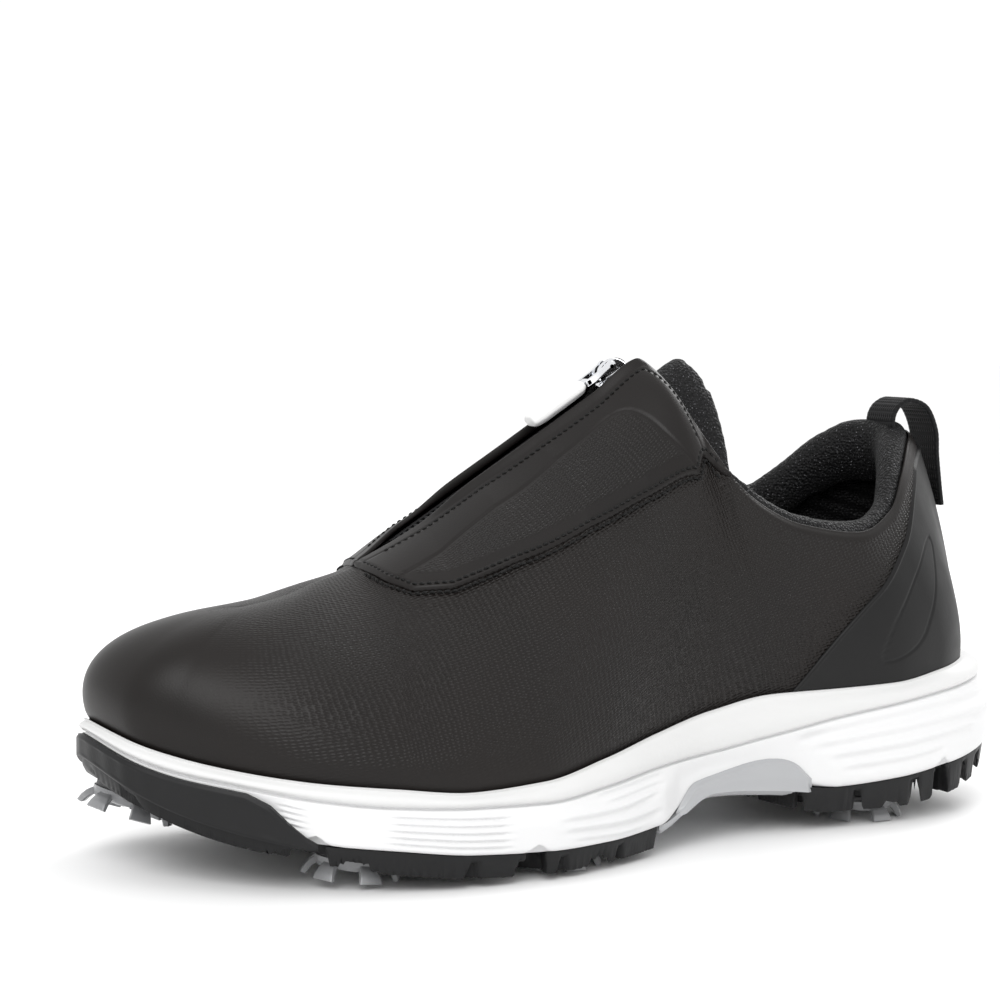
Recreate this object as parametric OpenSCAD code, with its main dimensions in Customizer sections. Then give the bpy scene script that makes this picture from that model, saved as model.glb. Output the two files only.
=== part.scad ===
// Golf shoe, left foot: a slip-on with a central zip, a white midsole and seven soft cleats.
// Millimetres. +Z is up, the toe points to -X and the outer (lateral) side to -Y.
// The origin is on the ground, under the middle of the shoe's box.

/* [Upper] */
// Thickness of the leather shell
leather_t = 1.4; // [1.0:0.1:1.6]
// Thickness of the mesh lining
lining_t = 1.2; // [0.8:0.1:1.4]
// Thickness of the instep panels
panel_t = 1.4; // [1.0:0.1:1.8]
// Thickness of the moulded heel overlay
overlay_t = 1.3; // [0.8:0.1:1.6]
// Thickness of the padded roll round the collar
collar_pad_t = 8.0; // [6:0.5:8]
// Width of the heel pull loop
pull_loop_w = 14; // [10:1:16]

/* [Zip] */
// Travel of the slider from closed to open
zip_travel = 70; // [50:1:70]
// Pitch of the zip teeth
tooth_pitch = 2.0; // [1.8:0.1:2.6]
// Length of the moulded pull grip
grip_l = 20; // [16:1:24]

/* [Sole] */
// Thickness of the rubber under the midsole, without its lugs
rubber_t = 2.2; // [2:0.1:2.4]
// Depth of the cup that holds the upper
cup_depth = 6.0; // [5.8:0.1:6.2]
// Thickness of the insole
insole_t = 5.0; // [3:0.5:6]
// Distance between neighbouring lug bars
lug_pitch = 9; // [8:0.5:12]

/* [Cleats] */
// Height of a cleat below its seat
cleat_h = 6.0; // [5.6:0.1:6]
// Diameter over the tips of the legs
cleat_d = 27.5; // [26:0.5:28]
// Diameter of the cleat's hub
hub_d = 21; // [20:0.5:22]
// Number of legs on a cleat
leg_count = 6; // [4:1:8]

/* [Hidden] */
$fn = 48;

// Sole stations from toe to heel:
// x, lateral y, medial y, inset of the feather line, then the heights of the feather line,
// the groove under the lip, the underside of the midsole and the tips of the lugs
SOLE = [
  [-150.2,  11.0, 11.0,  3.0, 41.5, 38.0, 33.0, 30.5],
  [-146.0,  -8.6, 27.5,  3.0, 39.2, 35.0, 29.0, 24.6],
  [-136.0, -20.8, 39.4,  3.2, 35.6, 31.0, 23.0, 18.2],
  [-122.0, -32.7, 47.0,  3.5, 32.4, 28.2, 18.0, 12.8],
  [-104.0, -43.9, 52.3,  3.5, 29.8, 25.0, 14.0,  8.9],
  [ -84.0, -51.4, 55.4,  3.5, 28.0, 22.8, 11.8,  5.2],
  [ -62.0, -55.8, 56.2,  3.5, 26.2, 21.8,  9.6,  3.0],
  [ -40.0, -55.7, 53.4,  3.5, 27.5, 21.4,  8.6,  2.2],
  [ -18.0, -50.7, 48.4,  3.5, 31.5, 23.4,  8.4,  2.2],
  [   4.0, -41.6, 44.3,  3.5, 35.6, 25.6,  9.4,  3.0],
  [  26.0, -34.1, 42.4,  3.5, 39.4, 27.0, 17.0, 13.0],
  [  48.0, -31.4, 43.3,  3.5, 42.3, 29.8, 15.4,  9.0],
  [  70.0, -32.1, 46.3,  3.5, 42.7, 33.7, 13.3,  5.5],
  [  92.0, -33.0, 49.5,  4.0, 43.4, 36.8, 14.6,  5.5],
  [ 112.0, -30.8, 48.2,  5.5, 46.0, 39.4, 17.2,  7.5],
  [ 128.0, -24.1, 41.8,  8.0, 47.6, 41.0, 19.6, 11.0],
  [ 140.0, -12.6, 32.3, 11.5, 48.4, 42.0, 21.8, 15.0],
  [ 147.0,  -2.5, 23.2, 13.5, 48.7, 42.3, 24.0, 18.5],
  [ 150.2,  10.0, 10.0, 14.5, 48.8, 42.5, 26.0, 21.0]
];
// Top line of the upper at the same stations (ridge, zip edge, panel corner, then collar):
// x, lateral y, medial y, lateral z, medial z, how far the wall leans in (90 is flat),
// then the shape of the wall: bulge and rise above the feather line, out and drop at the top
TOP = [
  [-106.0,   4.0,  4.0,  71.6,  71.6, 90, 8.0, 20, 27,  0.3],
  [-105.0,   4.0,  4.0,  71.8,  71.8, 90, 8.0, 20, 27,  0.3],
  [-101.0,   4.0,  4.0,  72.4,  72.4, 90, 7.0, 20, 28,  0.4],
  [ -94.0,   4.0,  4.0,  74.0,  74.0, 90, 5.5, 20, 28,  0.8],
  [ -84.0,   4.0,  4.0,  77.8,  77.8, 90, 4.5, 21, 28,  1.8],
  [ -73.0,   4.0,  4.0,  81.4,  81.4, 90, 3.5, 23, 29,  3.5],
  [ -55.0,  -1.2,  9.2,  92.3,  92.3, 90, 3.0, 26, 30,  6.5],
  [ -37.0,  -1.2,  9.2, 103.8, 103.8, 90, 3.0, 31, 30,  8.0],
  [ -19.0,  -1.2,  9.2, 115.3, 115.3, 90, 3.0, 38, 30,  9.0],
  [  -1.0,  -1.2,  9.2, 126.8, 126.8, 90, 3.0, 45, 31,  9.0],
  [  17.0,  -1.2,  9.2, 138.3, 138.3, 85, 3.0, 40, 30, 12.0],
  [  34.0, -26.0, 36.0, 107.0, 111.0, 30, 4.0, 20,  5, 16.0],
  [  57.0, -29.5, 42.0,  92.6,  98.0,  0, 4.0, 18,  3, 16.0],
  [  77.0, -30.0, 43.0,  89.7,  96.0,  0, 4.0, 18,  3, 16.0],
  [  92.0, -25.0, 39.5,  95.0, 104.0,  0, 3.0, 18,  4, 16.0],
  [ 103.5, -15.5, 31.0, 106.0, 113.5,  0, 2.0, 20,  5, 18.0],
  [ 113.0,  -5.0, 22.0, 114.0, 118.0,  0, 1.0, 24,  6, 20.0],
  [ 119.0,   2.5, 15.0, 117.3, 118.0,  0, 1.0, 25,  7, 20.0],
  [ 121.0,   8.5,  8.5, 118.0, 118.0,  0, 1.0, 25,  7, 20.0]
];
LAST = len(SOLE) - 1;      // the heel's station
ROUND = 2 * LAST;          // stations all the way round
STEP = 0.5;                // spacing of the rings' points, in stations
CENTRE_Y = 4;              // plane of the zip and the ridge
CLOSED = 5;                // ahead of this station the two sides meet on the ridge

// Stitched seam of the instep panels: station, share of the way up the wall
SEAM = [[5, 1], [5.35, 0.80], [5.6, 0.71], [6, 0.665], [7, 0.633], [8, 0.61], [9, 0.58],
        [10, 0.575], [10.5, 0.76], [11, 1]];
// Top of the lining: station, share of the way up the wall
LINING_TOP = [[5, 1], [5.5, 0.94], [10, 0.94], [11, 0.78], [18, 0.78]];
// Front edge of the heel overlay: share of the way up the wall, station
OVERLAY_EDGE = [[0, 11.3], [0.29, 12.0], [0.65, 13.1], [0.83, 14.3], [0.95, 15.8]];

OVERLAY_N = 26;            // columns of the overlay
OVERLAY_GAP = 0.5;         // clearance of the overlay from the leather

// Joins between the outsole's parts, from the lateral to the medial side
FORE_EDGE = [[3, -70], [3, -39], [-8, -17], [-20, -9], [-30, -1], [-12, 15], [-15, 26],
             [-22, 46], [-22, 70]];
HEEL_EDGE = [[57, -70], [57, -30], [47, -9], [52, -5], [76, 12], [60, 21], [50, 23],
             [57, 46], [57, 70]];
// Toe bumper on the side wall: station, share of the wall's height
BUMPER_TOP = [[0, 1], [3.3, 0.95], [3.7, 0.5], [4, 0.2]];
// Fairing of the shank on the side wall: station, height of its top edge
FAIRING = [[9.3, 10.5], [9.6, 18.8], [9.8, 19.8], [11.2, 25], [11.7, 14.5]];

// Cleats: x, y, height of the seat, tilt of the axis about Y
CLEATS = [[-134, 18, 19.0, 18], [-95, 32, 7.6, 6], [-50, 33, 6.0, 0], [-87, -30, 7.4, 5],
          [-27, -33, 6.0, 0], [90, -13, 6.0, 0], [94, 30, 6.0, 0]];

// Zip line: its top end on the surface of the panels, and its slope
ZIP_TOP = [17, CENTRE_Y, 138.3];
ZIP_ANGLE = atan2(11.5, 18);
CHAIN_L = 92;

GAP = 0.2;                 // glue line or clearance between neighbouring parts
SKIN_GAP = 0.25;           // clearance between the layers of the upper
STIFF_T = 1.0;             // toe puff and heel stiffener
STIFF_AT = leather_t + SKIN_GAP;
LINING_AT = STIFF_AT + STIFF_T + SKIN_GAP;
BOARD_T = 2.0;
BOARD_GAP = 0.9;           // between the folded leather and the board
MARGIN_W = 12;             // lasting margin, folded under the board

// Cleat seats: rubber boss, nylon receptacle with its flange, neck, chamber and bayonet lugs
PAD_D = 31;
PAD_H = 14;
RECEPTACLE_D = 18;
RECEPTACLE_H = 6.6;
FLANGE_D = 20;
FLANGE_H = 1.2;
NECK_D = 9.6;
NECK_H = 1.8;
CHAMBER_D = 13;
CHAMBER_H = 3.6;
STUD_D = 9;
STUD_H = 5.6;
LUG_D = 12.2;
LUG_W = 3.4;
LUG_H = 1.8;
HUB_H = 2.4;
LEG_W = 6.0;
WRENCH_D = 3;              // holes for the cleat wrench
WRENCH_R = 6.85;

// Path of the heel loop's webbing in the plane across the heel, and where that plane lies
LOOP_PATH = [[110.9, 121.3], [111.8, 123.9], [114, 126.3], [118, 127.6], [124, 125.2],
             [127.7, 118], [128.6, 110], [130.4, 101], [131.9, 94]];
LOOP_Y = 8.5;
WEB_T = 1.6;
COLLAR_H = 7;              // half the height of the collar's roll

// Zip parts in the zip's own frame
TAPE_T = 0.7;
TAPE_Z = -1.7;
TAPE_BEND = 5.2;           // where the tape starts to fall away
TAPE_EDGE = 9.4;
TAPE_FALL = 1.3;
TOOTH_IN = 0.45;           // distance of a tooth's tip from the zip's centre plane
TOOTH_OUT = 2.65;
TOOTH_H = 1.7;
SLIDER_L = 13;
SLIDER_W = 8.6;
CROWN_T = 1.8;
CROWN_X = -7;              // pull's hinge, along the zip and above it
CROWN_Z = 4.6;
PIN_D = 1.6;
LINK_L = 8;
CHEEK_T = 1.2;
CHEEK_Y = 2.4;
GRIP_HALF = 3.9;
TONGUE_T = 4.5;

// ---- curves ----

// A closed loop of knots, lateral side first, from two lists of columns
function round_trip(table, lateral, medial) = concat(
  [for (row = table) [for (c = lateral) row[c]]],
  [for (i = [LAST - 1:-1:1]) [for (c = medial) table[i][c]]]
);
EDGE = round_trip(SOLE, [0, 1], [0, 2]);
LEVELS = round_trip(SOLE, [3, 4, 5, 6, 7], [3, 4, 5, 6, 7]);
TOPS = round_trip(TOP, [0, 1, 3, 5, 6, 7, 8, 9], [0, 2, 4, 5, 6, 7, 8, 9]);

// Slope at a knot that keeps the curve between its neighbours
function knot_slope(a, b, c) = [
  for (k = [0:len(a) - 1])
    let (s = b[k] - a[k], q = c[k] - b[k])
    s * q > 0 ? 2 * s * q / (s + q) : 0
];
function at(knots, u) =
  let (n = len(knots), w = u - n * floor(u / n), i = floor(w), f = w - i)
  let (b = knots[i], c = knots[(i + 1) % n])
  let (m = knot_slope(knots[(i + n - 1) % n], b, c), k = knot_slope(b, c, knots[(i + 2) % n]))
  (2 * f^3 - 3 * f^2 + 1) * b + (f^3 - 2 * f^2 + f) * m
  + (3 * f^2 - 2 * f^3) * c + (f^3 - f^2) * k;

function unit(v) = v / norm(v);
// Outward direction in plan
function outward(u) =
  let (d = at(EDGE, u + 0.03) - at(EDGE, u - 0.03))
  unit([d[1], -d[0]]);
// Station folded to the lateral side
function folded(u) = let (w = u - ROUND * floor(u / ROUND)) w > LAST ? ROUND - w : w;

function feather_inset(u) = at(LEVELS, u)[0];
function feather_z(u) = at(LEVELS, u)[1];
function groove_z(u) = at(LEVELS, u)[2];

// Underside of the midsole and lug tips as profiles along x
UNDER = [for (u = [0:STEP:LAST]) [at(EDGE, u)[0], at(LEVELS, u)[3]]];
TIPS = [for (u = [0:STEP:LAST]) [at(EDGE, u)[0], at(LEVELS, u)[4]]];
function under_z(x) = lookup(x, UNDER);

// Point of the sole's wall: inset from the outline at a given height
function wall(u, inset, z) =
  let (p = at(EDGE, u) - outward(u) * inset)
  [p[0], p[1], z];

// Point of the upper: v runs from the feather line (0) to the top line (1), t goes inwards
function skin(u, v, t) =
  let (n2 = outward(u), n = [n2[0], n2[1], 0], up = [0, 0, 1], w = 1 - v)
  let (shape = at(TOPS, u), top = [shape[0], shape[1], shape[2]])
  let (s = sin(shape[3]), c = cos(shape[3]))
  let (foot = wall(u, feather_inset(u) + t, feather_z(u)))
  let (low = foot + n * shape[4] + up * (shape[5] - 0.35 * s * t))
  let (high = top + n * (shape[6] - max(c, 0.4) * t) - up * (shape[7] + s * t))
  w^3 * foot + 3 * w^2 * v * low + 3 * w * v^2 * high
  + v^3 * (top - n * c * t - up * s * t);

// ---- closed meshes ----

function volume6(p, f) =
  let (v = [for (t = f) cross(p[t[0]], p[t[1]]) * p[t[2]]])
  v * [for (t = f) 1];
function turned(f) = [for (t = f) [t[2], t[1], t[0]]];
function quad(a, b, c, d) = [[a, b, c], [a, c, d]];
function flat2(lists) = [for (l = lists) for (e = l) e];

module solid(points, faces) {
  polyhedron(points, volume6(points, faces) > 0 ? turned(faces) : faces, convexity = 8);
}

// Rings round the shoe, with the first and last closed by strips from side to side
module ring_stack(rings) {
  n = len(rings[0]);
  r = len(rings);
  sides = [for (k = [0:r - 2]) for (i = [0:n - 1])
    let (j = (i + 1) % n)
    each quad(k * n + i, k * n + j, (k + 1) * n + j, (k + 1) * n + i)];
  half = n / 2;
  caps = [for (i = [0:half - 1])
    let (a = i, b = i + 1, c = (n - i - 1) % n, d = (n - i) % n)
    each concat(
      i == 0 ? [[a, c, b]] : i == half - 1 ? [[a, d, b]] : [[a, d, c], [a, c, b]],
      i == 0 ? [[a, b, c] + (r - 1) * n * [1, 1, 1]]
      : i == half - 1 ? [[a, b, d] + (r - 1) * n * [1, 1, 1]]
      : [[a, c, d] + (r - 1) * n * [1, 1, 1], [a, b, c] + (r - 1) * n * [1, 1, 1]]
    )];
  solid(flat2(rings), concat(sides, caps));
}

// A shell round the shoe: outer and inner rings, open at the top behind the closed ridge
module shell(outer, inner) {
  n = len(outer[0]);
  r = len(outer);
  seam = CLOSED / STEP;
  // On the closed ridge the two sides share their points
  function id(face, k, i) =
    let (j = i % n)
    face * r * n + k * n + (k == r - 1 && j > n - 1 - seam ? n - j : j);
  skin_faces = [for (face = [0, 1]) for (k = [0:r - 2]) for (i = [0:n - 1])
    let (q = quad(id(face, k, i), id(face, k, i + 1), id(face, k + 1, i + 1), id(face, k + 1, i)))
    each (face == 0 ? q : turned(q))];
  bottom = [for (i = [0:n - 1])
    each quad(id(1, 0, i), id(1, 0, i + 1), id(0, 0, i + 1), id(0, 0, i))];
  rim = [for (i = [seam:n - 1 - seam])
    each quad(id(0, r - 1, i), id(0, r - 1, i + 1), id(1, r - 1, i + 1), id(1, r - 1, i))];
  real = [for (t = concat(skin_faces, bottom, rim))
    if (t[0] != t[1] && t[1] != t[2] && t[0] != t[2]) t];
  solid(concat(flat2(outer), flat2(inner)), real);
}

// A patch with thickness: two grids of the same size, joined round their borders
module patch(outer, inner) {
  r = len(outer);
  n = len(outer[0]);
  m = r * n;
  top = [for (k = [0:r - 2]) for (i = [0:n - 2])
    each quad(k * n + i, k * n + i + 1, (k + 1) * n + i + 1, (k + 1) * n + i)];
  back = [for (t = turned(top)) t + m * [1, 1, 1]];
  rim = concat(
    [for (i = [0:n - 2]) i],
    [for (k = [0:r - 2]) k * n + n - 1],
    [for (i = [n - 1:-1:1]) (r - 1) * n + i],
    [for (k = [r - 1:-1:1]) k * n]
  );
  walls = [for (i = [0:len(rim) - 1])
    let (a = rim[i], b = rim[(i + 1) % len(rim)])
    each quad(b, a, a + m, b + m)];
  solid(concat(flat2(outer), flat2(inner)), concat(top, back, walls));
}

function stations(from, to, step) = [for (k = [0:round((to - from) / step)]) from + k * step];
ALL = [for (k = [0:ROUND / STEP - 1]) k * STEP];

// ---- sole ----

// Slab between two offsets below the midsole's underside, as wide as the shoe
module layer(top, bottom_profile, bottom) {
  points = concat(
    [for (p = UNDER) [p[0], p[1] - top]],
    [for (i = [len(bottom_profile) - 1:-1:0]) bottom_profile[i] - [0, bottom]]
  );
  translate([0, 70, 0]) rotate([90, 0, 0]) linear_extrude(140) polygon(points);
}

module sole_plan(inset) {
  polygon([for (u = ALL) at(EDGE, u) - outward(u) * inset]);
}

// Body inset that leaves room for the toe bumper and the shank's fairing
function body_inset(u) =
  lookup(folded(u), [[0, 2.4], [3.6, 2.4], [4.4, 0], [9, 0], [9.4, 2.4], [11.6, 2.4], [12, 0]]);

module midsole() {
  floor_z = function(u) feather_z(u) - cup_depth;
  rings = [
    [for (u = ALL) let (p = wall(u, body_inset(u) + 1.6, 0)) [p[0], p[1], under_z(p[0])]],
    [for (u = ALL) wall(u, body_inset(u), at(LEVELS, u)[3] + 2.2)],
    [for (u = ALL) wall(u, body_inset(u), (2 * groove_z(u) + at(LEVELS, u)[3]) / 3)],
    [for (u = ALL) wall(u, 0.3 * feather_inset(u) + 0.6, groove_z(u))],
    [for (u = ALL) wall(u, 0.3 * feather_inset(u) - 0.2, groove_z(u) + 1.4)],
    [for (u = ALL) wall(u, 0.6 * feather_inset(u) - 0.4, feather_z(u) - 1.2)],
    [for (u = ALL) wall(u, feather_inset(u) - 0.9, feather_z(u))],
    [for (u = ALL) wall(u, feather_inset(u) - GAP, feather_z(u) - 0.3)],
    [for (u = ALL) wall(u, feather_inset(u) - GAP, floor_z(u))]
  ];
  color("white") difference() {
    ring_stack(rings);
    for (c = CLEATS) at_cleat(c) translate([0, 0, -5])
      cylinder(d = RECEPTACLE_D + 2 * GAP, h = 5 + RECEPTACLE_H + GAP);
  }
}

// Places a cleat's own frame: seat at z = 0, stud upwards, legs downwards
module at_cleat(c) {
  translate([c[0], c[1], c[2]]) rotate([0, c[3], 0]) children();
}

// Bars across the tread, cut into blocks by the flex grooves
module lug_plan(from, to, slant) {
  bar_w = 0.6 * lug_pitch;
  difference() {
    intersection() {
      sole_plan(3);
      for (x = [from:lug_pitch:to])
        translate([x, CENTRE_Y]) rotate(slant) square([bar_w, 150], center = true);
    }
    for (c = CLEATS) translate([c[0], c[1]]) circle(d = PAD_D + 3);
    for (y = [-22, 2, 25])
      translate([(from + to) / 2, y]) rotate(8) square([to - from + 40, 2.4], center = true);
    for (x = [-108, -52, 112]) translate([x, 0]) rotate(-12) square([5, 150], center = true);
  }
}

module rubber_part(edge, far_x, cleats, lugs) {
  region = concat(edge, [[far_x, 75], [far_x, -75]]);
  difference() {
    union() {
      intersection() {
        layer(GAP, UNDER, rubber_t);
        linear_extrude(60) intersection() {
          sole_plan(1.8);
          polygon(region);
        }
      }
      intersection() {
        layer(rubber_t - 0.6, TIPS, 0);
        linear_extrude(60) intersection() {
          lug_plan(lugs[0], lugs[1], lugs[2]);
          polygon(region);
        }
      }
      intersection() {
        layer(GAP, [for (p = UNDER) [p[0], -2]], 0);
        linear_extrude(60) sole_plan(1.8);
        for (c = cleats) at_cleat(c) cylinder(d = PAD_D, h = PAD_H);
      }
    }
    for (c = cleats) at_cleat(c) translate([0, 0, -20])
      cylinder(d = FLANGE_D + 2 * GAP, h = 20 + FLANGE_H + GAP);
    for (c = cleats) at_cleat(c) cylinder(d = RECEPTACLE_D + 2 * GAP, h = 20);
  }
}

module forefoot_outsole() {
  us = stations(-4, 4, 0.25);
  // The bumper's top edge drops to the tread at its ends
  rows = function(t) [for (h = [0, 0.5, 1]) [for (u = us)
    let (low = at(LEVELS, u)[3] + 0.4, high = groove_z(u) - 0.4)
    wall(u, t(u), low + (high - low) * h * lookup(abs(u), BUMPER_TOP))]];
  color("#222222") {
    rubber_part(FORE_EDGE, -160, [for (i = [0:4]) CLEATS[i]], [-142, -2, -8]);
    patch(rows(function(u) 0), rows(function(u) body_inset(u) - 3 * GAP));
  }
}

module heel_outsole() {
  color("#222222") rubber_part(HEEL_EDGE, 160, [CLEATS[5], CLEATS[6]], [60, 146, 0]);
}

module shank_plate() {
  region = concat([for (p = FORE_EDGE) p + [0.4, 0]],
                  [for (i = [len(HEEL_EDGE) - 1:-1:0]) HEEL_EDGE[i] - [0.4, 0]]);
  color("#b9bcc0") {
    intersection() {
      layer(GAP, UNDER, rubber_t);
      linear_extrude(60) intersection() {
        sole_plan(2.2);
        polygon(region);
      }
    }
    for (side = [0, 1]) fairing(side);
  }
}

// Side fairing of the shank on the wall of the midsole
module fairing(side) {
  us = [for (u = stations(9.4, 11.6, 0.2)) side == 0 ? u : ROUND - u];
  rows = function(t) [for (h = [0, 1]) [for (u = us)
    let (low = at(LEVELS, u)[3] + 0.4, high = max(low + 1, lookup(folded(u), FAIRING)))
    wall(u, t, low + (high - low) * h)]];
  patch(rows(0.2), rows(2.4 - GAP));
}

module cleat_receptacles() {
  color("#3a3a3a") for (c = CLEATS) at_cleat(c) difference() {
    union() {
      cylinder(d = RECEPTACLE_D, h = RECEPTACLE_H);
      cylinder(d = FLANGE_D, h = FLANGE_H);
    }
    translate([0, 0, -1]) cylinder(d = NECK_D, h = 3);
    translate([0, 0, NECK_H]) cylinder(d = CHAMBER_D, h = CHAMBER_H);
    for (a = [60, 180, 300]) rotate(a) translate([0, -1.9, -1]) cube([LUG_D / 2 + 0.3, 3.8, 3.2]);
  }
}

// Soft cleat: hub, stud with bayonet lugs, flared legs
module cleat() {
  color("#9a9ca0") difference() {
    union() {
      translate([0, 0, -HUB_H]) cylinder(d1 = hub_d - 1.6, d2 = hub_d, h = HUB_H - GAP);
      translate([0, 0, -HUB_H - 1.2]) cylinder(d1 = 8, d2 = 12, h = 1.4);
      translate([0, 0, -1]) cylinder(d = STUD_D, h = STUD_H);
      for (a = [0, 120, 240]) rotate(a) intersection() {
        translate([0, 0, 2.4]) cylinder(d = LUG_D, h = LUG_H);
        translate([0, -LUG_W / 2, 2.4]) cube([LUG_D, LUG_W, LUG_H]);
      }
      for (k = [0:leg_count - 1]) rotate(k * 360 / leg_count + 30)
        translate([0, LEG_W / 2, 0]) rotate([90, 0, 0]) linear_extrude(LEG_W) polygon([
          [hub_d / 2 - 3.5, -0.6], [hub_d / 2 + 0.4, -0.6], [cleat_d / 2, -cleat_h + 0.9],
          [cleat_d / 2, -cleat_h], [cleat_d / 2 - 1.9, -cleat_h], [hub_d / 2 - 3.5, -HUB_H]
        ]);
    }
    for (s = [-1, 1]) translate([0, s * WRENCH_R, -10]) cylinder(d = WRENCH_D, h = 9);
  }
}

// ---- upper ----

module strobel_board() {
  inset = function(u) feather_inset(u) + leather_t + 0.5;
  base = function(u) feather_z(u) - cup_depth + leather_t + BOARD_GAP;
  color("#d8cfb8") ring_stack([
    [for (u = ALL) wall(u, inset(u), base(u))],
    [for (u = ALL) wall(u, inset(u), base(u) + BOARD_T)]
  ]);
}

module insole() {
  inset = function(u) feather_inset(u) + LINING_AT + lining_t + 0.5;
  base = function(u) feather_z(u) - cup_depth + leather_t + BOARD_GAP + BOARD_T + 2 * GAP;
  color("#303030") ring_stack([
    [for (u = ALL) wall(u, inset(u) + 0.6, base(u))],
    [for (u = ALL) wall(u, inset(u), base(u) + 1)],
    [for (u = ALL) wall(u, inset(u), base(u) + insole_t - 1)],
    [for (u = ALL) wall(u, inset(u) + 1.5, base(u) + insole_t)]
  ]);
}

// Share of the way up the wall where the leather shell ends, under the panels
function shell_top(u) = let (w = folded(u)) w <= 5 || w >= 11 ? 1 : min(1, lookup(w, SEAM) + 0.08);
SHELL_ROWS = [for (k = [0:8]) k / 8];

// Floor of the cup as a profile along x
CUP = [for (u = [0:STEP:LAST]) [wall(u, feather_inset(u) - GAP, 0)[0], feather_z(u)]];

module upper_shell() {
  rows = function(t) concat(
    [[for (u = ALL) let (p = wall(u, feather_inset(u) + MARGIN_W, 0))
       [p[0], p[1], lookup(p[0], CUP) - cup_depth + GAP + t]],
     [for (u = ALL) wall(u, feather_inset(u) + t, feather_z(u) - cup_depth + GAP + t)]],
    [for (v = SHELL_ROWS) [for (u = ALL) skin(u, v * shell_top(u), t)]]
  );
  color("#1c1b1b") shell(rows(0), rows(leather_t));
}

module lining() {
  top = function(u) let (w = folded(u)) w <= 5 ? 1 : lookup(w, LINING_TOP);
  rows = function(t) [for (k = [0:8]) [for (u = ALL) skin(u, 0.02 + (top(u) - 0.02) * k / 8, t)]];
  color("#2b2b2b") shell(rows(LINING_AT), rows(LINING_AT + lining_t));
}

// Patch of the upper between two stations, with its own limits up the wall
module skin_patch(us, vs, low, high, t0, t1) {
  grid = function(t) [for (k = vs) [for (u = us) skin(u, low(u) + (high(u) - low(u)) * k, t)]];
  patch(grid(t0), grid(t1));
}

module toe_puff() {
  color("#cfcac0") skin_patch(
    stations(-4.5, 4.5, STEP), [for (k = [0:6]) k / 6], function(u) 0.03,
    function(u) 0.75 - 0.012 * u * u, STIFF_AT, STIFF_AT + STIFF_T
  );
}

module heel_stiffener() {
  color("#cfcac0") skin_patch(
    stations(13, 23, STEP), [for (k = [0:6]) k / 6], function(u) 0.03,
    function(u) 0.62 - 0.02 * abs(u - LAST)^1.5, STIFF_AT, STIFF_AT + STIFF_T
  );
}

module heel_overlay() {
  rows = [for (k = [0:8]) 0.02 + 0.9 * k / 8];
  grid = function(t) [for (v = rows)
    let (a = lookup(v, OVERLAY_EDGE))
    [for (k = [0:OVERLAY_N]) skin(a + (ROUND - 2 * a) * k / OVERLAY_N, v, t)]];
  color("#202020") patch(grid(-overlay_t - OVERLAY_GAP), grid(-OVERLAY_GAP));
}

module instep_panel(side) {
  us = concat([5.12, 5.25, 5.4, 5.6, 5.8], stations(6, 10, STEP), [10.2, 10.4, 10.6, 10.8, 10.94]);
  turned_us = [for (u = us) side == 0 ? u : ROUND - u];
  color("#242323") skin_patch(
    turned_us, [for (k = [0:5]) k / 5], function(u) lookup(folded(u), SEAM), function(u) 1,
    -panel_t - GAP, -GAP
  );
}

// Frame of the zip: x runs up the zip, z away from the foot, origin at its top end
module at_zip() {
  translate(ZIP_TOP) rotate([0, -ZIP_ANGLE, 0]) children();
}

// Arched gusset behind the zip, standing up behind the panels' top edge
module tongue_gusset() {
  across = [for (k = [-6:6]) k / 6];
  grid = function(t) [for (k = [0:8]) [for (w = across)
    let (reach = 15 * (1 - w * w), a = -88 + (88 + reach) * k / 8, share = (a + 88) / 88)
    let (drop = 14 + 17 * share, half = 21 + 3.5 * share)
    [a, (half - t * 0.5) * w, -6 - t - drop * abs(w)^1.7 + 3 * max(0, share - 1)]]];
  color("#262626") at_zip() patch(grid(0), grid(TONGUE_T));
}

// Padded roll round the collar, from one panel corner to the other
module collar_padding() {
  us = stations(11.3, 24.7, 0.4);
  sides = 10;
  ring = function(u) [for (k = [0:sides - 1])
    let (a = 360 * k / sides, n = outward(u))
    let (mid = skin(u, 0.94, 0) - [n[0], n[1], 0] * (leather_t + 0.6 + collar_pad_t / 2))
    mid + [n[0], n[1], 0] * (collar_pad_t / 2) * cos(a) + [0, 0, COLLAR_H * sin(a)]];
  rings = [for (u = us) ring(u)];
  n = len(us);
  sides_f = [for (k = [0:n - 2]) for (i = [0:sides - 1])
    let (j = (i + 1) % sides)
    each quad(k * sides + i, k * sides + j, (k + 1) * sides + j, (k + 1) * sides + i)];
  ends = concat(
    [for (i = [1:sides - 2]) [0, i + 1, i]],
    [for (i = [1:sides - 2]) [(n - 1) * sides, (n - 1) * sides + i, (n - 1) * sides + i + 1]]
  );
  color("#1f1f1f") solid(flat2(rings), concat(sides_f, ends));
}

// Webbing loop that stands over the heel, from the top of the collar to the outside of the heel
module pull_loop() {
  n = len(LOOP_PATH);
  fine = [for (k = [0:4 * (n - 1)]) let (i = min(floor(k / 4), n - 2), f = k / 4 - i)
    let (a = LOOP_PATH[max(i - 1, 0)], b = LOOP_PATH[i])
    let (c = LOOP_PATH[i + 1], d = LOOP_PATH[min(i + 2, n - 1)])
    b + 0.5 * f * (c - a + f * (2 * a - 5 * b + 4 * c - d + f * (3 * (b - c) + d - a)))];
  last = len(fine) - 1;
  side = function(k)
    let (d = unit(fine[min(k + 1, last)] - fine[max(k - 1, 0)]))
    [-d[1], d[0]] * WEB_T / 2;
  color("#262626") translate([0, LOOP_Y + pull_loop_w / 2, 0]) rotate([90, 0, 0])
    linear_extrude(pull_loop_w) polygon(concat(
      [for (k = [0:last]) fine[k] + side(k)],
      [for (k = [last:-1:0]) fine[k] - side(k)]
    ));
}

// ---- zip ----

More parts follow.
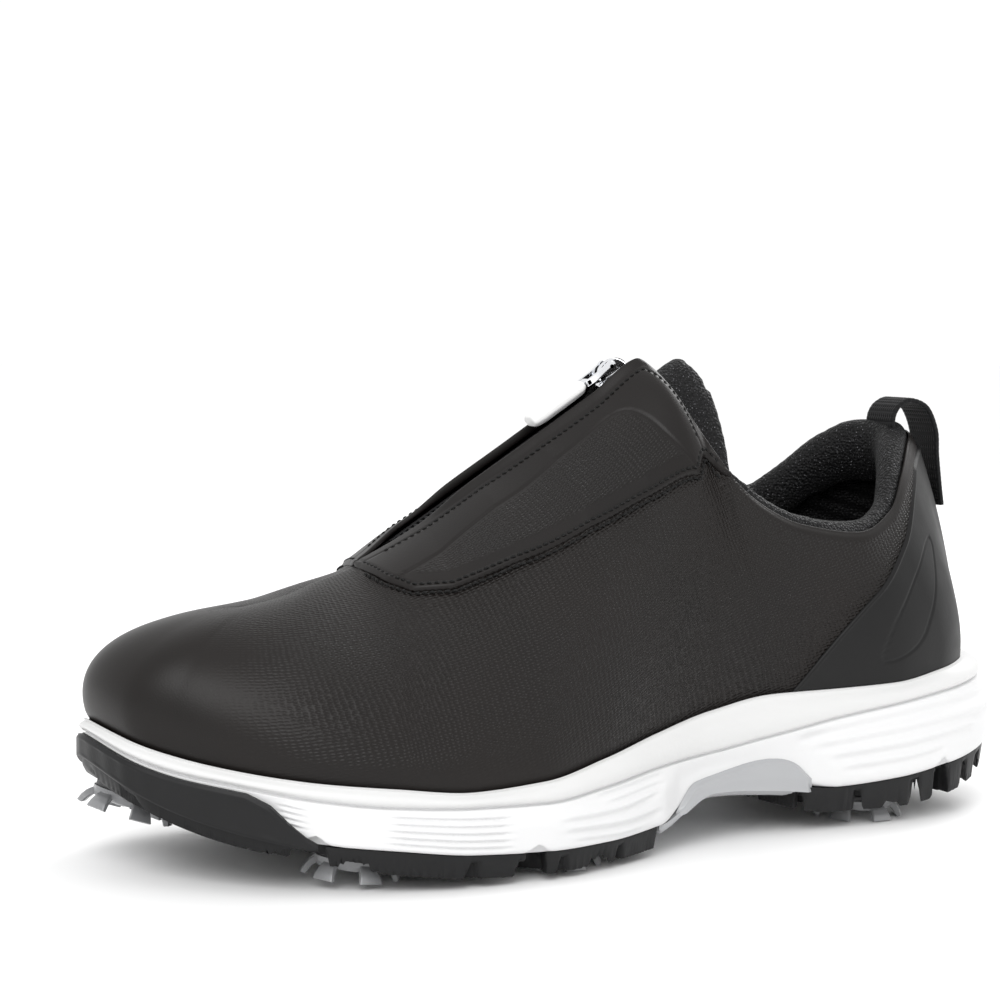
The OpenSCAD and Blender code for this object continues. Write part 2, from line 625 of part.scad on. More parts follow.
module zip_tape(side) {
  color("#161616") at_zip() mirror([0, side, 0]) translate([-CHAIN_L - 2, 0, 0])
    rotate([90, 0, 90]) linear_extrude(CHAIN_L + 1) polygon([
      [-TOOTH_OUT - 0.05, TAPE_Z], [-TAPE_BEND, TAPE_Z], [-TAPE_EDGE, TAPE_Z - TAPE_FALL],
      [-TAPE_EDGE, TAPE_Z - TAPE_FALL + TAPE_T], [-TAPE_BEND, TAPE_Z + TAPE_T],
      [-TOOTH_OUT - 0.05, TAPE_Z + TAPE_T]
    ]);
}

module zip_teeth(side) {
  count = floor((CHAIN_L - 4) / tooth_pitch);
  color("#1a1a1a") at_zip() for (k = [0:count - 1])
    translate([-3 - k * tooth_pitch - side * tooth_pitch / 2, side == 0 ? -TOOTH_OUT : TOOTH_IN, -2.2])
      cube([0.55 * tooth_pitch, TOOTH_OUT - TOOTH_IN, TOOTH_H]);
}

module zip_top_stops() {
  color("#c9ccd0") at_zip() for (s = [0, 1]) mirror([0, s, 0]) translate([-1.6, -TOOTH_OUT, -2.4])
    cube([2.2, TOOTH_OUT - TOOTH_IN, 2.0]);
}

module zip_bottom_stop() {
  color("#c9ccd0") at_zip() translate([-CHAIN_L - 2, -TOOTH_OUT, -2.5]) cube([3, 2 * TOOTH_OUT, 2.2]);
}

// Slider at the top of its travel: two plates round the chain, a wedge between them, a crown
module zip_slider() {
  half = SLIDER_W / 2;
  color("#d5d8dc") at_zip() difference() {
    union() {
      translate([-SLIDER_L, -half, 0.3]) cube([SLIDER_L, SLIDER_W, 1.4]);
      translate([-SLIDER_L, -half, -4.4]) cube([SLIDER_L, SLIDER_W, 1.3]);
      for (s = [-1, 1]) translate([-SLIDER_L, s * (half - 0.35) - 0.35, -0.6]) cube([SLIDER_L, 0.7, 1.2]);
      translate([-4, -0.2, -3.2]) cube([3.2, 0.4, 3.6]);
      translate([0, CROWN_T / 2, 0]) rotate([90, 0, 0]) linear_extrude(CROWN_T) polygon([
        [-11.5, 1.5], [-10.5, 4.6], [-9, 6.2], [-5, 6.2], [-3.2, 4.8], [-1.5, 1.5]
      ]);
    }
    translate([CROWN_X, 5, CROWN_Z]) rotate([90, 0, 0]) cylinder(d = PIN_D + 0.4, h = 10);
  }
}

// Metal link of the pull: cheeks each side of the crown, its pin, and a tongue in the grip
module zip_pull_link() {
  color("#d5d8dc") at_zip() translate([CROWN_X, 0, CROWN_Z]) {
    translate([0, 3.0, 0]) rotate([90, 0, 0]) cylinder(d = PIN_D, h = 6);
    for (s = [-1, 1]) translate([0, s * CHEEK_Y - CHEEK_T / 2, 0]) {
      translate([-LINK_L, 0, -0.9]) cube([LINK_L, CHEEK_T, 1.8]);
      translate([0, CHEEK_T, 0]) rotate([90, 0, 0]) cylinder(d = 3.4, h = CHEEK_T);
    }
    translate([-LINK_L - 1.8, -3, -0.9]) cube([2, 6, 1.8]);
    translate([-LINK_L - 5.5, -1.5, -0.6]) cube([4.5, 3, 1.2]);
  }
}

// White moulded grip round the link's tongue
module zip_pull_grip() {
  outline = [[-1.6, 0.7], [0, 2.4], [grip_l - 3.5, 2.7], [grip_l, 1.2], [grip_l, -1.3],
             [grip_l - 3.5, -2.2], [0, -2.0], [-1.6, -0.7]];
  half = GRIP_HALF;
  color("#f2f2f0") at_zip()
    translate([CROWN_X - LINK_L - 2 - GAP, 0, CROWN_Z]) mirror([1, 0, 0]) difference() {
    intersection() {
      translate([1.6, half, 0]) rotate([90, 0, 0]) linear_extrude(2 * half) polygon(outline);
      translate([1.6, 0, -5]) linear_extrude(10) polygon([
        [-1.6, -half + 1.4], [0, -half], [grip_l - 3, -half], [grip_l, -half + 2],
        [grip_l, half - 2], [grip_l - 3, half], [0, half], [-1.6, half - 1.4]
      ]);
    }
    translate([-1, -1.7, -0.8]) cube([5.2, 3.4, 1.6]);
  }
}

midsole();
shank_plate();
forefoot_outsole();
heel_outsole();
cleat_receptacles();
at_cleat(CLEATS[0]) cleat();  // cleat_toe
at_cleat(CLEATS[1]) cleat();  // cleat_ball_medial_front
at_cleat(CLEATS[2]) cleat();  // cleat_ball_medial_rear
at_cleat(CLEATS[3]) cleat();  // cleat_ball_lateral_front
at_cleat(CLEATS[4]) cleat();  // cleat_ball_lateral_rear
at_cleat(CLEATS[5]) cleat();  // cleat_heel_lateral
at_cleat(CLEATS[6]) cleat();  // cleat_heel_medial
strobel_board();
insole();
upper_shell();
lining();
toe_puff();
heel_stiffener();
heel_overlay();
instep_panel(0);  // instep_panel_lateral
instep_panel(1);  // instep_panel_medial
tongue_gusset();
collar_padding();
pull_loop();
zip_tape(0);  // zip_tape_lateral
zip_tape(1);  // zip_tape_medial
zip_teeth(0);  // zip_teeth_lateral
zip_teeth(1);  // zip_teeth_medial
zip_top_stops();
zip_bottom_stop();
zip_slider();
zip_pull_link();
zip_pull_grip();
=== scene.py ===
import math

import bmesh
import bpy
import numpy as np
from mathutils import Matrix, Vector


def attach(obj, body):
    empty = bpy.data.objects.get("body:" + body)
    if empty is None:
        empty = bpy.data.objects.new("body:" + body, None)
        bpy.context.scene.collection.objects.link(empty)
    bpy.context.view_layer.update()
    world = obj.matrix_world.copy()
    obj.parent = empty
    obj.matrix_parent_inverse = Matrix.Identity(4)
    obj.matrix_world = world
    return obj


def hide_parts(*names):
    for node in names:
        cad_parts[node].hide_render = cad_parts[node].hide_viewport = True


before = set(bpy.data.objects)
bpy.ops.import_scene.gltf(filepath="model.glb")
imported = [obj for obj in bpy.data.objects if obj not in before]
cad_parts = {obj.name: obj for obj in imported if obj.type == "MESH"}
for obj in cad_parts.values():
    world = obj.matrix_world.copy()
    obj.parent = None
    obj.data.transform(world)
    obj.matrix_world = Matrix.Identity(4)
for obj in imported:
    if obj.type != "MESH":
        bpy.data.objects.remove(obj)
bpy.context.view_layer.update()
MM = 0.001


# ---- camera, at the viewing angle ----

def place_camera():
    yaw, pitch, roll = (math.radians(a) for a in (-26.56, 4.44, 0.58))
    back = Vector((math.sin(yaw) * math.cos(pitch), -math.cos(yaw) * math.cos(pitch), math.sin(pitch)))
    right = Vector((math.cos(yaw), math.sin(yaw), 0))
    up = back.cross(right)
    side = right * math.cos(roll) + up * math.sin(roll)
    top = up * math.cos(roll) - right * math.sin(roll)
    data = bpy.data.cameras.new("camera")
    data.lens = 86.5
    data.sensor_width = 36
    data.clip_start, data.clip_end = 0.01, 20
    camera = bpy.data.objects.new("camera", data)
    bpy.context.scene.collection.objects.link(camera)
    camera.matrix_world = Matrix((
        (side.x, top.x, back.x, -0.3391), (side.y, top.y, back.y, -0.6214),
        (side.z, top.z, back.z, 0.1537), (0, 0, 0, 1)))
    bpy.context.scene.camera = camera


place_camera()

# ---- the shoe's form, as in the CAD ----

# Sole stations from toe to heel: x, lateral y, medial y, inset of the feather line, then the
# heights of the feather line, the groove, the underside of the midsole and the lugs' tips
SOLE = np.array([
    [-150.2, 11.0, 11.0, 3.0, 41.5, 38.0, 33.0, 30.5],
    [-146.0, -8.6, 27.5, 3.0, 39.2, 35.0, 29.0, 24.6],
    [-136.0, -20.8, 39.4, 3.2, 35.6, 31.0, 23.0, 18.2],
    [-122.0, -32.7, 47.0, 3.5, 32.4, 28.2, 18.0, 12.8],
    [-104.0, -43.9, 52.3, 3.5, 29.8, 25.0, 14.0, 8.9],
    [-84.0, -51.4, 55.4, 3.5, 28.0, 22.8, 11.8, 5.2],
    [-62.0, -55.8, 56.2, 3.5, 26.2, 21.8, 9.6, 3.0],
    [-40.0, -55.7, 53.4, 3.5, 27.5, 21.4, 8.6, 2.2],
    [-18.0, -50.7, 48.4, 3.5, 31.5, 23.4, 8.4, 2.2],
    [4.0, -41.6, 44.3, 3.5, 35.6, 25.6, 9.4, 3.0],
    [26.0, -34.1, 42.4, 3.5, 39.4, 27.0, 17.0, 13.0],
    [48.0, -31.4, 43.3, 3.5, 42.3, 29.8, 15.4, 9.0],
    [70.0, -32.1, 46.3, 3.5, 42.7, 33.7, 13.3, 5.5],
    [92.0, -33.0, 49.5, 4.0, 43.4, 36.8, 14.6, 5.5],
    [112.0, -30.8, 48.2, 5.5, 46.0, 39.4, 17.2, 7.5],
    [128.0, -24.1, 41.8, 8.0, 47.6, 41.0, 19.6, 11.0],
    [140.0, -12.6, 32.3, 11.5, 48.4, 42.0, 21.8, 15.0],
    [147.0, -2.5, 23.2, 13.5, 48.7, 42.3, 24.0, 18.5],
    [150.2, 10.0, 10.0, 14.5, 48.8, 42.5, 26.0, 21.0]])
# Top line of the upper at the same stations: x, lateral y, medial y, lateral z, medial z,
# lean of the wall, then bulge and rise above the feather line, out and drop at the top
TOP = np.array([
    [-106.0, 4.0, 4.0, 71.6, 71.6, 90, 8.0, 20, 27, 0.3],
    [-105.0, 4.0, 4.0, 71.8, 71.8, 90, 8.0, 20, 27, 0.3],
    [-101.0, 4.0, 4.0, 72.4, 72.4, 90, 7.0, 20, 28, 0.4],
    [-94.0, 4.0, 4.0, 74.0, 74.0, 90, 5.5, 20, 28, 0.8],
    [-84.0, 4.0, 4.0, 77.8, 77.8, 90, 4.5, 21, 28, 1.8],
    [-73.0, 4.0, 4.0, 81.4, 81.4, 90, 3.5, 23, 29, 3.5],
    [-55.0, -1.2, 9.2, 92.3, 92.3, 90, 3.0, 26, 30, 6.5],
    [-37.0, -1.2, 9.2, 103.8, 103.8, 90, 3.0, 31, 30, 8.0],
    [-19.0, -1.2, 9.2, 115.3, 115.3, 90, 3.0, 38, 30, 9.0],
    [-1.0, -1.2, 9.2, 126.8, 126.8, 90, 3.0, 45, 31, 9.0],
    [17.0, -1.2, 9.2, 138.3, 138.3, 85, 3.0, 40, 30, 12.0],
    [34.0, -26.0, 36.0, 107.0, 111.0, 30, 4.0, 20, 5, 16.0],
    [57.0, -29.5, 42.0, 92.6, 98.0, 0, 4.0, 18, 3, 16.0],
    [77.0, -30.0, 43.0, 89.7, 96.0, 0, 4.0, 18, 3, 16.0],
    [92.0, -25.0, 39.5, 95.0, 104.0, 0, 3.0, 18, 4, 16.0],
    [103.5, -15.5, 31.0, 106.0, 113.5, 0, 2.0, 20, 5, 18.0],
    [113.0, -5.0, 22.0, 114.0, 118.0, 0, 1.0, 24, 6, 20.0],
    [119.0, 2.5, 15.0, 117.3, 118.0, 0, 1.0, 25, 7, 20.0],
    [121.0, 8.5, 8.5, 118.0, 118.0, 0, 1.0, 25, 7, 20.0]])
LAST, ROUND, CENTRE_Y = 18, 36, 4.0
CUP, LEATHER, LINING_AT, LINING, GAP = 6.0, 1.4, 2.9, 1.2, 0.2
SEAM = [[5, 1], [5.35, .80], [5.6, .71], [6, .665], [7, .633], [8, .61], [9, .58], [10, .575],
        [10.5, .76], [11, 1]]
OVERLAY_EDGE = [[0, 11.3], [.29, 12], [.65, 13.1], [.83, 14.3], [.95, 15.8]]
FORE_EDGE = [[3, -39], [-8, -17], [-20, -9], [-30, -1], [-12, 15], [-15, 26], [-22, 46]]
HEEL_EDGE = [[57, -30], [47, -9], [52, -5], [76, 12], [60, 21], [50, 23], [57, 46]]
FAIRING = [[9.3, 10.5], [9.6, 18.8], [9.8, 19.8], [11.2, 25], [11.7, 14.5]]
CLEATS = {
    "cleat_toe": (-134, 18, 19.0, 18), "cleat_ball_medial_front": (-95, 32, 7.6, 6),
    "cleat_ball_medial_rear": (-50, 33, 6.0, 0), "cleat_ball_lateral_front": (-87, -30, 7.4, 5),
    "cleat_ball_lateral_rear": (-27, -33, 6.0, 0), "cleat_heel_lateral": (90, -13, 6.0, 0),
    "cleat_heel_medial": (94, 30, 6.0, 0)}


def round_trip(table, lateral, medial):
    return np.concatenate([table[:, lateral], table[LAST - 1:0:-1][:, medial]])


EDGE = round_trip(SOLE, [0, 1], [0, 2])
LEVELS = round_trip(SOLE, [3, 4, 5, 6, 7], [3, 4, 5, 6, 7])
TOPS = round_trip(TOP, [0, 1, 3, 5, 6, 7, 8, 9], [0, 2, 4, 5, 6, 7, 8, 9])


def slope(a, b, c):
    s, q = b - a, c - b
    ok = s * q > 0
    return np.where(ok, 2 * s * q / np.where(ok, s + q, 1), 0)


def at(knots, u):
    n = len(knots)
    w = np.asarray(u, float) % n
    i = np.floor(w).astype(int)
    f = (w - i)[..., None]
    a, b, c, d = (knots[(i + k) % n] for k in (-1, 0, 1, 2))
    m, k = slope(a, b, c), slope(b, c, d)
    return ((2 * f**3 - 3 * f**2 + 1) * b + (f**3 - 2 * f**2 + f) * m
            + (3 * f**2 - 2 * f**3) * c + (f**3 - f**2) * k)


def outward(u):
    d = at(EDGE, np.asarray(u) + 0.03) - at(EDGE, np.asarray(u) - 0.03)
    n = np.stack([d[..., 1], -d[..., 0]], -1)
    return n / np.linalg.norm(n, axis=-1, keepdims=True)


def folded(u):
    w = np.asarray(u, float) % ROUND
    return np.where(w > LAST, ROUND - w, w)


def lookup(x, table):
    table = np.asarray(table, float)
    return np.interp(x, table[:, 0], table[:, 1])


def feather_inset(u):
    return at(LEVELS, u)[..., 0]


def feather_z(u):
    return at(LEVELS, u)[..., 1]


def groove_z(u):
    return at(LEVELS, u)[..., 2]


def under_u(u):
    return at(LEVELS, u)[..., 3]


def wall(u, inset, z):
    u, inset, z = np.broadcast_arrays(np.asarray(u, float), inset, z)
    p = at(EDGE, u) - outward(u) * inset[..., None]
    return np.concatenate([p, z[..., None]], -1)


def skin(u, v, t):
    u, v, t = (np.asarray(a, float) for a in np.broadcast_arrays(u, v, t))
    n = np.concatenate([outward(u), np.zeros(u.shape + (1,))], -1)
    up = np.array([0, 0, 1.0])
    shape = at(TOPS, u)
    top = shape[..., :3]
    lean = np.radians(shape[..., 3])
    s, c, t = np.sin(lean)[..., None], np.cos(lean)[..., None], t[..., None]
    v = v[..., None]
    w = 1 - v
    foot = wall(u, feather_inset(u) + t[..., 0], feather_z(u))
    low = foot + n * shape[..., 4:5] + up * (shape[..., 5:6] - 0.35 * s * t)
    high = top + n * (shape[..., 6:7] - np.maximum(c, 0.4) * t) - up * (shape[..., 7:8] + s * t)
    return w**3 * foot + 3 * w**2 * v * low + 3 * w * v**2 * high + v**3 * (top - n * c * t - up * s * t)


US = np.linspace(0, LAST, 181)
UNDER_X, UNDER_Z = at(EDGE, US)[:, 0], under_u(US)
TIPS_Z = at(LEVELS, US)[:, 4]


def under_z(x):
    return np.interp(x, UNDER_X, UNDER_Z)


def tips_z(x):
    return np.interp(x, UNDER_X, TIPS_Z)


def body_inset(u):
    return lookup(folded(u), [[0, 2.4], [3.6, 2.4], [4.4, 0], [9, 0], [9.4, 2.4], [11.6, 2.4], [12, 0]])


def step(x):
    x = np.clip(x, 0, 1)
    return x * x * (3 - 2 * x)


def ripple(p, size):
    """Smooth unevenness between -1 and 1, the same each run."""
    x, y, z = (p[..., k] / size for k in range(3))
    return (np.sin(1.7 * x + 2.1 * y + 0.4) + np.sin(2.3 * y - 1.9 * z + 1.1) + np.sin(1.3 * z + 2.9 * x - 0.7)
            + np.sin(3.1 * x - 2.7 * z + 1.9 * y)) / 4


def along(points, parts):
    """Points evenly spaced along a polyline."""
    points = np.asarray(points, float)
    run = np.concatenate([[0], np.cumsum(np.linalg.norm(np.diff(points, axis=0), axis=1))])
    s = np.linspace(0, run[-1], parts)
    return np.stack([np.interp(s, run, points[:, k]) for k in range(points.shape[1])], -1)


def rounded(points, parts, times=3, closed=False):
    """A smooth curve near given points, by corner cutting."""
    p = np.asarray(points, float)
    for _ in range(times):
        q = np.concatenate([p, p[:1]]) if closed else p
        cut = np.stack([0.75 * q[:-1] + 0.25 * q[1:], 0.25 * q[:-1] + 0.75 * q[1:]], 1).reshape(-1, p.shape[1])
        p = cut if closed else np.concatenate([p[:1], cut, p[-1:]])
    return along(np.concatenate([p, p[:1]]) if closed else p, parts)


def distance(p, line):
    """Distance of points to a polyline, and the nearest points on it."""
    flat = p.reshape(-1, p.shape[-1])
    best, near = np.full(len(flat), 1e9), np.zeros_like(flat)
    for a, b in zip(line[:-1], line[1:]):
        d = b - a
        f = np.clip(((flat - a) @ d) / max(d @ d, 1e-12), 0, 1)
        q = a + f[:, None] * d
        r = np.linalg.norm(flat - q, axis=1)
        closer = r < best
        best[closer], near[closer] = r[closer], q[closer]
    return best.reshape(p.shape[:-1]), near.reshape(p.shape)


def inside(poly, x, y):
    hit = np.zeros(np.shape(x), bool)
    for (x0, y0), (x1, y1) in zip(poly, np.roll(poly, -1, axis=0)):
        if y0 != y1:
            hit ^= ((y0 > y) != (y1 > y)) & (x < (x1 - x0) * (y - y0) / (y1 - y0) + x0)
    return hit


def depth(poly, x, y):
    """Distance inside a closed outline in plan, negative outside."""
    d, _ = distance(np.stack([x, y], -1), np.concatenate([poly, poly[:1]]))
    return np.where(inside(poly, x, y), d, -d)


# ---- meshes ----

PIECES = {}


def spread(*spans):
    """Runs of evenly spaced values, each (from, to, count), joined without doubled ends."""
    parts = [np.linspace(*span) for span in spans]
    return np.concatenate([part[:-1] for part in parts[:-1]] + parts[-1:])


def both(values, size=1):
    """A grid's values for the outer and the inner face of a slab."""
    flat = values.ravel() if size == 1 else values.reshape(-1, size)
    return np.concatenate([flat, flat])


def grid_quads(rows, cols, wrap=False):
    r, c = np.meshgrid(np.arange(rows - 1), np.arange(cols if wrap else cols - 1), indexing="ij")
    a, b = r * cols + c, r * cols + (c + 1) % cols
    return np.stack([a, b, b + cols, a + cols], -1).reshape(-1, 4)


def slab(outer, inner, wrap=False):
    """A closed solid between two grids of the same size."""
    rows, cols = outer.shape[:2]
    m = rows * cols
    q = grid_quads(rows, cols, wrap)
    faces = [q, q[:, ::-1] + m]
    c = np.arange(cols if wrap else cols - 1)
    for row in (0, rows - 1):
        a, b = row * cols + c, row * cols + (c + 1) % cols
        faces.append(np.stack([a, b, b + m, a + m], -1))
    if not wrap:
        r = np.arange(rows - 1)
        for col in (0, cols - 1):
            a, b = r * cols + col, (r + 1) * cols + col
            faces.append(np.stack([a, b, b + m, a + m], -1))
    return np.concatenate([outer.reshape(-1, 3), inner.reshape(-1, 3)]), np.concatenate(faces)


def tube(rings, capped=True):
    """A closed skin over rings of points."""
    rows, cols = rings.shape[:2]
    faces = [tuple(int(i) for i in f) for f in grid_quads(rows, cols, True)]
    if capped:
        faces += [tuple(range(cols)), tuple(range((rows - 1) * cols, rows * cols))]
    return rings.reshape(-1, 3), faces


def piece(name, points, faces, material, body="shoe", stands_for=(), uv=None, marks=None,
          sharp=None, weld=0.0):
    """A new object from points in millimetres; uv and marks are per point."""
    mesh = bpy.data.meshes.new(name)
    mesh.from_pydata((np.asarray(points, float) * MM).tolist(), [], [tuple(int(i) for i in f) for f in faces])
    for key, values in (marks or {}).items():
        mesh.attributes.new(key, "FLOAT", "POINT").data.foreach_set("value", np.asarray(values, np.float32).ravel())
    if uv is not None:
        layer = mesh.uv_layers.new(name="UVMap")
        loops = np.zeros(len(mesh.loops), np.int32)
        mesh.loops.foreach_get("vertex_index", loops)
        layer.data.foreach_set("uv", (np.asarray(uv, float).reshape(-1, 2)[loops] * MM).astype(np.float32).ravel())
    bm = bmesh.new()
    bm.from_mesh(mesh)
    if weld:
        bmesh.ops.remove_doubles(bm, verts=bm.verts, dist=weld * MM)
    bmesh.ops.recalc_face_normals(bm, faces=bm.faces)
    bm.to_mesh(mesh)
    bm.free()
    mesh.polygons.foreach_set("use_smooth", np.ones(len(mesh.polygons), bool))
    if sharp:
        mesh.set_sharp_from_angle(angle=math.radians(sharp))
    obj = bpy.data.objects.new(name, mesh)
    bpy.context.scene.collection.objects.link(obj)
    mesh.materials.append(material)
    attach(obj, body)
    if stands_for:
        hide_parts(*stands_for)
    PIECES[name] = obj
    return obj


def join(parts):
    """Several (points, faces) as one."""
    points, faces, n = [], [], 0
    for p, f in parts:
        points.append(np.asarray(p, float).reshape(-1, 3))
        faces += [tuple(int(i) + n for i in g) for g in f]
        n += len(points[-1])
    return np.concatenate(points), faces


def modify(obj, kind, **settings):
    m = obj.modifiers.new(kind.lower(), kind)
    for key, value in settings.items():
        setattr(m, key, value)
    return m


def apply_modifiers(obj):
    graph = bpy.context.evaluated_depsgraph_get()
    mesh = bpy.data.meshes.new_from_object(obj.evaluated_get(graph))
    obj.modifiers.clear()
    old = obj.data
    obj.data = mesh
    bpy.data.meshes.remove(old)


def surface_uv(points):
    """Lengths along the rows and up the columns of a grid, in millimetres."""
    across = np.linalg.norm(np.diff(points, axis=1), axis=-1)
    up = np.linalg.norm(np.diff(points, axis=0), axis=-1)
    mid = points.shape[0] // 2
    u = np.concatenate([[0], np.cumsum(across[mid])])
    v = np.concatenate([np.zeros((1, points.shape[1])), np.cumsum(up, axis=0)])
    return np.stack([np.broadcast_to(u, v.shape), v], -1)


# ---- materials ----

class Shader:
    """A material's nodes, built up by short calls."""

    def __init__(self, name, color, rough, **inputs):
        self.mat = bpy.data.materials.new(name)
        self.mat.use_nodes = True
        self.nodes, self.links = self.mat.node_tree.nodes, self.mat.node_tree.links
        self.bsdf = self.nodes["Principled BSDF"]
        self.set("Base Color", (*color, 1))
        self.set("Roughness", rough)
        for key, value in inputs.items():
            self.set(key.replace("_", " "), value)
        self.height = None

    def set(self, socket, value):
        self.bsdf.inputs[socket].default_value = value

    def node(self, kind, **settings):
        n = self.nodes.new(kind)
        for key, value in settings.items():
            if key in n.inputs:
                n.inputs[key].default_value = value
            else:
                setattr(n, key, value)
        return n

    def link(self, a, b):
        self.links.new(a, b)

    def place(self, source="Object", scale=(1, 1, 1), turn=(0, 0, 0)):
        coords = self.node("ShaderNodeTexCoord")
        mapping = self.node("ShaderNodeMapping")
        mapping.inputs["Scale"].default_value = scale
        mapping.inputs["Rotation"].default_value = [math.radians(a) for a in turn]
        self.link(coords.outputs[source], mapping.inputs["Vector"])
        return mapping.outputs["Vector"]

    def noise(self, vector, scale, detail=3.0, rough=0.5):
        n = self.node("ShaderNodeTexNoise", Scale=scale, Detail=detail, Roughness=rough)
        self.link(vector, n.inputs["Vector"])
        return n.outputs["Fac"]

    def cells(self, vector, scale, random=1.0, feature="F1"):
        n = self.node("ShaderNodeTexVoronoi", feature=feature, Scale=scale, Randomness=random)
        self.link(vector, n.inputs["Vector"])
        return n.outputs["Distance"]

    def bands(self, vector, scale, axis="X", distort=0.0):
        n = self.node("ShaderNodeTexWave", bands_direction=axis, Scale=scale, Distortion=distort)
        self.link(vector, n.inputs["Vector"])
        return n.outputs["Fac"]

    def math(self, op, a, b=0.0, c=0.0):
        n = self.node("ShaderNodeMath", operation=op)
        for k, x in enumerate((a, b, c)):
            if isinstance(x, (int, float)):
                n.inputs[k].default_value = x
            else:
                self.link(x, n.inputs[k])
        return n.outputs[0]

    def ramp(self, fac, low, high, a=0.0, b=1.0):
        n = self.node("ShaderNodeMapRange")
        n.interpolation_type = "SMOOTHSTEP"
        for key, x in (("From Min", low), ("From Max", high), ("To Min", a), ("To Max", b)):
            n.inputs[key].default_value = x
        self.link(fac, n.inputs["Value"])
        return n.outputs["Result"]

    def mark(self, name):
        return self.node("ShaderNodeAttribute", attribute_name=name).outputs["Fac"]

    def colors(self, fac, a, b):
        n = self.node("ShaderNodeMix", data_type="RGBA")
        n.inputs["A"].default_value = (*a, 1)
        n.inputs["B"].default_value = (*b, 1)
        self.link(fac, n.inputs["Factor"])
        self.link(n.outputs["Result"], self.bsdf.inputs["Base Color"])

    def roughness(self, fac, low, high):
        self.link(self.ramp(fac, 0, 1, low, high), self.bsdf.inputs["Roughness"])

    def bump(self, fac, depth_mm, strength=1.0):
        n = self.node("ShaderNodeBump", Strength=strength, Distance=depth_mm * MM)
        self.link(fac, n.inputs["Height"])
        if self.height:
            self.link(self.height, n.inputs["Normal"])
        self.height = n.outputs["Normal"]
        self.link(self.height, self.bsdf.inputs["Normal"])


def leather(name, color, rough, marked):
    s = Shader(name, color, rough, Specular_IOR_Level=0.24)
    fine = s.place("UV", (1000, 1000, 1000), (0, 0, 0))
    sheared = s.node("ShaderNodeVectorMath", operation="MULTIPLY")
    turned = s.node("ShaderNodeMapping")
    turned.inputs["Rotation"].default_value = (0, 0, math.radians(-14))
    s.link(fine, turned.inputs["Vector"])
    sheared.inputs[1].default_value = (0.62, 1.12, 1)
    s.link(turned.outputs["Vector"], sheared.inputs[0])
    dimples = s.ramp(s.cells(sheared.outputs["Vector"], 1.0, 0.32), 0.05, 0.62)
    if marked:
        dimples = s.math("MULTIPLY", dimples, s.mark("grain"))
    pores = s.noise(s.place("Object", (1, 1, 1)), 1900, 4)
    s.bump(pores, 0.06, 0.6)
    s.bump(dimples, 0.40, 0.75)
    broad = s.noise(s.place("Object"), 26, 3)
    s.roughness(s.math("MULTIPLY_ADD", pores, 0.35, s.math("MULTIPLY", broad, 0.65)), rough - 0.07, rough + 0.09)
    s.colors(broad, [c * 0.8 for c in color], [color[0] * 1.45, color[1] * 1.2, color[2] * 1.1])
    return s.mat


def knit(name, color, glint_color, pitch, source="Object", ribs=0.0):
    """Black mesh fabric; pale spots mixed into its colour are painted glints on the yarn loops."""
    s = Shader(name, color, 0.75, Specular_IOR_Level=0.2, Sheen_Weight=0.03, Sheen_Roughness=0.5)
    v = s.place(source, (1, 1, 1))
    loops = s.cells(v, 1000 / pitch, 0.75)
    strands = s.noise(v, 2600 / pitch, 2)
    fac = s.math("MULTIPLY", s.ramp(loops, 0.1, 0.75), s.ramp(strands, 0.3, 0.7))
    s.bump(loops, 0.55, 0.9)
    if ribs:
        rib = s.bands(s.place("UV", (1, 1, 1), (0, 0, 62)), 1000 / ribs / 20 * 3.1416)
        s.bump(rib, 0.5, 0.8)
    # painted glints: pale spots of base colour on the yarn strands stand in for light glinting off the mesh
    glint_spots = s.ramp(s.cells(v, 1300 / pitch, 1.0), 0.12, 0.3, 1.0, 0.0)
    s.colors(s.math("MULTIPLY", glint_spots, s.ramp(strands, 0.45, 0.75)), color, glint_color)
    s.roughness(fac, 0.5, 0.85)
    return s.mat


def foam():
    s = Shader("midsole_foam", (0.70, 0.70, 0.705), 0.42, Specular_IOR_Level=0.35)
    v = s.place()
    s.bump(s.noise(v, 900, 4), 0.05, 0.5)
    broad = s.noise(v, 14, 3)
    shade = s.math("MULTIPLY_ADD", s.mark("lip"), 0.6, s.math("MULTIPLY", broad, 0.4))
    s.colors(shade, (0.73, 0.73, 0.735), (0.64, 0.64, 0.635))
    s.roughness(s.noise(v, 60, 4), 0.36, 0.52)
    return s.mat


def rubber():
    s = Shader("outsole_rubber", (0.006, 0.006, 0.0065), 0.5, Specular_IOR_Level=0.27)
    v = s.place()
    s.bump(s.noise(v, 1200, 4), 0.06, 0.6)
    a = s.bands(s.place("Object", (1, 1, 1), (0, 0, 45)), 45)
    b = s.bands(s.place("Object", (1, 1, 1), (0, 0, -45)), 45)
    s.bump(s.math("MULTIPLY", s.math("MULTIPLY", a, b), s.mark("knurl")), 0.5, 0.9)
    dust = s.noise(v, 45, 5, 0.65)
    s.colors(dust, (0.004, 0.004, 0.0045), (0.012, 0.012, 0.0125))
    s.roughness(dust, 0.36, 0.62)
    return s.mat


def plastic(name, a, b, rough, coat=0.0, depth_mm=0.03, scale=500, metal=0.0):
    shine = 0.5 if a[0] > 0.02 else 0.2
    s = Shader(name, a, rough, Specular_IOR_Level=shine, Coat_Weight=coat, Coat_Roughness=0.08,
               Metallic=metal)
    v = s.place()
    s.bump(s.noise(v, scale, 3), depth_mm, 0.5)
    s.colors(s.noise(v, 32, 3), a, b)
    s.roughness(s.noise(v, 120, 4), max(rough - 0.05, 0.02), rough + 0.07)
    return s.mat


